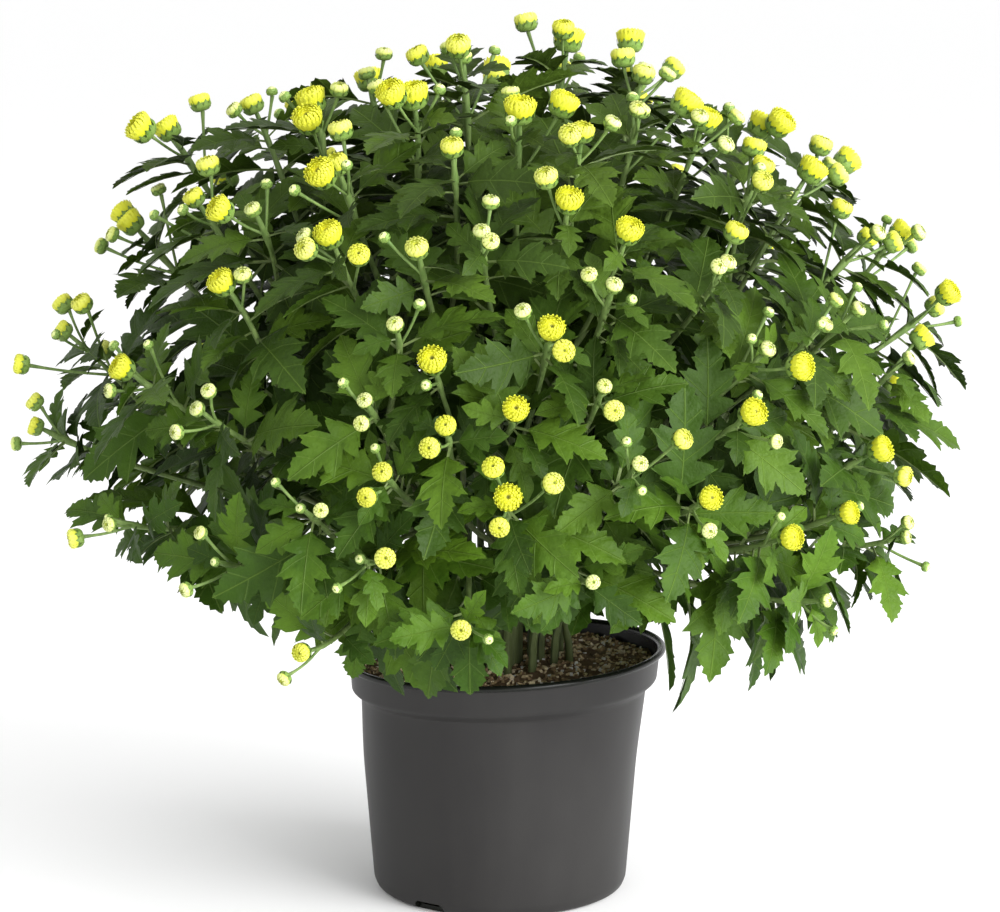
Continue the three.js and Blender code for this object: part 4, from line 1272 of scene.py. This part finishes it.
def leaf_material():
    nodes = Nodes("chrysanthemum_leaf")
    own, painted_shade_reach_share, high = nodes.tone()[:3]
    along, out, _ = nodes.flat()
    aside = nodes.math("ABSOLUTE", nodes.minus(out, 0.5))
    start = nodes.minus(nodes.minus(along, nodes.times(aside, VEIN_SLOPE)), FIRST_VEIN)
    steps = nodes.math("DIVIDE", start, VEIN_SPACING)
    to_side_vein = nodes.math("ABSOLUTE", nodes.minus(steps, nodes.math("ROUND", steps)))
    side_vein = nodes.minus(1.0, nodes.math("DIVIDE", to_side_vein, 0.035), clamp=True)
    midrib = nodes.minus(1.0, nodes.math("DIVIDE", aside, 0.009), clamp=True)
    veins = nodes.math("MAXIMUM", midrib, nodes.times(side_vein, 0.6))
    cloud = nodes.noise(60, 3)
    pucker = nodes.noise(230, 2)
    fine = nodes.noise(700, 2)
    mixed = nodes.plus(nodes.times(own, 0.55), nodes.times(cloud, 0.5))
    green = nodes.ramp(mixed, [(0.2, (0.018, 0.045, 0.003)), (0.5, (0.032, 0.078, 0.004)),
                               (0.85, (0.078, 0.155, 0.009))])
    # Painted shade: leaves high on the plant are painted in this darker green
    painted_shade_green = nodes.ramp(mixed, [(0.2, (0.024, 0.036, 0.005)), (0.85, (0.044, 0.064, 0.010))])
    colour = nodes.blend(nodes.times(high, 0.7), green, painted_shade_green)
    colour = nodes.blend(nodes.times(veins, 0.4), colour, (0.17, 0.27, 0.05))
    # Painted shade on the leaves near the crown, inside the foliage
    colour = nodes.blend(nodes.times(nodes.minus(1.0, painted_shade_reach_share), 0.2), colour, (0.010, 0.028, 0.003))
    height = nodes.plus(nodes.times(veins, -0.5), nodes.plus(pucker, nodes.times(fine, 0.3)))
    nodes.bump(height, 0.7, 0.0012)
    return nodes.finish(colour, nodes.plus(0.42, nodes.times(cloud, 0.2)), 0.14)


def stem_material():
    nodes = Nodes("chrysanthemum_stem")
    _, lit_share, _ = nodes.tone()[:3]
    streaks = nodes.noise(240, 3, stretch=(1, 1, 0.2))
    # Painted shade: stems are painted darker towards their foot, and lit green at their tips and stalks
    painted_shade_stem = nodes.ramp(streaks, [(0.3, (0.05, 0.045, 0.02)), (0.7, (0.10, 0.11, 0.045))])
    lit_stem = nodes.ramp(streaks, [(0.3, (0.09, 0.16, 0.035)), (0.7, (0.19, 0.28, 0.08))])
    nodes.bump(streaks, 0.4, 0.0005)
    return nodes.finish(nodes.blend(lit_share, painted_shade_stem, lit_stem), 0.55, 0.3)


def petal_material():
    nodes = Nodes("chrysanthemum_petal")
    own, along, openness = nodes.tone()[:3]
    ripe = nodes.ramp(along, [(0.0, (0.40, 0.55, 0.04)), (0.4, (0.66, 0.68, 0.025)),
                              (1.0, (0.72, 0.745, 0.065))])
    pale = nodes.ramp(along, [(0.0, (0.30, 0.46, 0.08)), (0.5, (0.54, 0.65, 0.20)),
                              (1.0, (0.70, 0.76, 0.38))])
    share = nodes.math("MULTIPLY", nodes.minus(openness, 0.3), 2.0, clamp=True)
    colour = nodes.blend(share, pale, ripe)
    colour = nodes.blend(nodes.times(own, 0.2), colour, (0.64, 0.58, 0.02))
    return nodes.finish(colour, 0.5, 0.3)


def core_material():
    nodes = Nodes("chrysanthemum_heart")
    _, place, openness = nodes.tone()[:3]
    green = nodes.ramp(place, [(0.0, (0.07, 0.14, 0.03)), (0.5, (0.38, 0.50, 0.12)),
                               (0.8, (0.26, 0.38, 0.07)), (1.0, (0.07, 0.13, 0.015))])
    yellow = nodes.ramp(place, [(0.35, (0.07, 0.14, 0.03)), (0.5, (0.66, 0.66, 0.03)),
                                (0.8, (0.70, 0.66, 0.02)), (0.9, (0.22, 0.22, 0.015)),
                                (1.0, (0.05, 0.06, 0.005))])
    return nodes.finish(nodes.blend(openness, green, yellow), 0.6, 0.3)


def calyx_material():
    nodes = Nodes("chrysanthemum_calyx")
    own, along, _ = nodes.tone()[:3]
    streaks = nodes.noise(900, 2)
    mixed = nodes.plus(nodes.times(along, 0.75), nodes.times(streaks, 0.3))
    colour = nodes.ramp(mixed, [(0.1, (0.10, 0.19, 0.04)), (0.5, (0.20, 0.32, 0.07)),
                                (0.75, (0.12, 0.22, 0.03)), (0.95, (0.035, 0.08, 0.012))])
    colour = nodes.blend(nodes.times(own, 0.35), colour, (0.30, 0.42, 0.12))
    return nodes.finish(colour, 0.5, 0.3)


def pot_material():
    nodes = Nodes("nursery_pot_plastic")
    cloud = nodes.noise(14, 4)
    streaks = nodes.noise(45, 3, stretch=(1, 1, 0.06))
    grain = nodes.noise(1500, 2)
    mixed = nodes.plus(nodes.times(cloud, 0.6), nodes.times(streaks, 0.4))
    colour = nodes.ramp(mixed, [(0.3, (0.017, 0.016, 0.016)), (0.7, (0.026, 0.025, 0.024))])
    lip = nodes.tone()[0]
    colour = nodes.blend(lip, colour, (0.007, 0.008, 0.006))
    rough = nodes.plus(0.38, nodes.times(streaks, 0.16))
    nodes.bump(grain, 0.12, 0.0003)
    return nodes.finish(colour, nodes.minus(rough, nodes.times(lip, 0.2)), 0.22)


def soil_material():
    nodes = Nodes("potting_soil")
    kind = nodes.tone()[0]
    grain = nodes.noise(900, 4)
    colour = nodes.ramp(kind, [(0.1, (0.19, 0.125, 0.070)), (0.4, (0.48, 0.35, 0.19)),
                               (0.6, (0.78, 0.62, 0.36)), (0.85, (0.92, 0.79, 0.53)),
                               (0.95, (0.92, 0.90, 0.85))])
    shade = nodes.ramp(grain, [(0.3, (0.7, 0.7, 0.7)), (0.7, (1.0, 1.0, 1.0))])
    colour = nodes.blend(0.6, colour, shade, "MULTIPLY")
    nodes.bump(grain, 0.8, 0.0008)
    return nodes.finish(colour, 0.9, 0.2)


def floor_material():
    nodes = Nodes("pale_floor")
    return nodes.finish((0.94, 0.94, 0.94), 0.9, 0.1)


# Scene

def make_plant():
    stems = grow_stems()
    grow_buds(stems)
    grow_leaves(stems)
    grow_more_leaves(stems)
    materials = [leaf_material(), stem_material(), petal_material(), calyx_material(), core_material()]
    variants = bloom_variants()
    for index, stem in enumerate(stems):
        draw = random_source(index * 17 + 9)
        pieces = Pieces()
        for shoot in stem["shoots"]:
            add_shoot(pieces, stem, shoot)
            for leaf in shoot["leaves"]:
                add_leaf(pieces, leaf, shoot["length"] - leaf["node"])
            add_bloom(pieces, shoot["tip_bud"], variants, draw)
            for bud in shoot["buds"]:
                add_stalk(pieces, bud, draw() * TURN)
                add_bloom(pieces, bud, variants, draw)
        name = f"{index + 1:02d}"
        piece = pieces.build(f"foliage_{name}", materials)
        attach(piece, "root")
        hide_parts(f"leafy_stem_{name}")


def make_camera():
    data = bpy.data.cameras.new("camera")
    data.sensor_width = SENSOR
    data.lens = LENS
    data.clip_end = FURTHEST_VIEW
    camera = add_object("camera", data)
    camera.location = CAMERA_PLACE
    camera.rotation_euler = (math.pi / 2 - CAMERA_PITCH, 0, 0)
    bpy.context.scene.camera = camera


def make_light(name, place, size, power):
    data = bpy.data.lights.new(name, "AREA")
    data.shape = "DISK"
    data.size = size
    data.energy = power
    light = add_object(name, data)
    light.location = place
    direction = unit(np.array(LIGHT_TARGET) - np.array(place))
    heading = math.atan2(direction[1], direction[0]) - math.pi / 2
    light.rotation_euler = (math.acos(-direction[2]), 0, heading)


def make_studio():
    mesh = bpy.data.meshes.new("floor")
    corners = [(x * FLOOR_HALF, y * FLOOR_HALF, 0) for x, y in ((-1, -1), (1, -1), (1, 1), (-1, 1))]
    mesh.from_pydata(corners, [], [(0, 1, 2, 3)])
    mesh.materials.append(floor_material())
    floor = add_object("floor", mesh)
    world = bpy.data.worlds.new("studio")
    world.use_nodes = True
    background = world.node_tree.nodes["Background"]
    background.inputs["Color"].default_value = (1, 1, 1, 1)
    background.inputs["Strength"].default_value = WORLD_STRENGTH
    bpy.context.scene.view_settings.view_transform = "Standard"
    bpy.context.scene.world = world
    for name, (place, size, power) in LIGHTS.items():
        make_light(name, place, size, power)


make_plant()

pot = make_pot([pot_material()])
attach(pot, "root")
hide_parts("pot")

soil = make_soil([soil_material()])
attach(soil, "root")
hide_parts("soil")

make_studio()
make_camera()
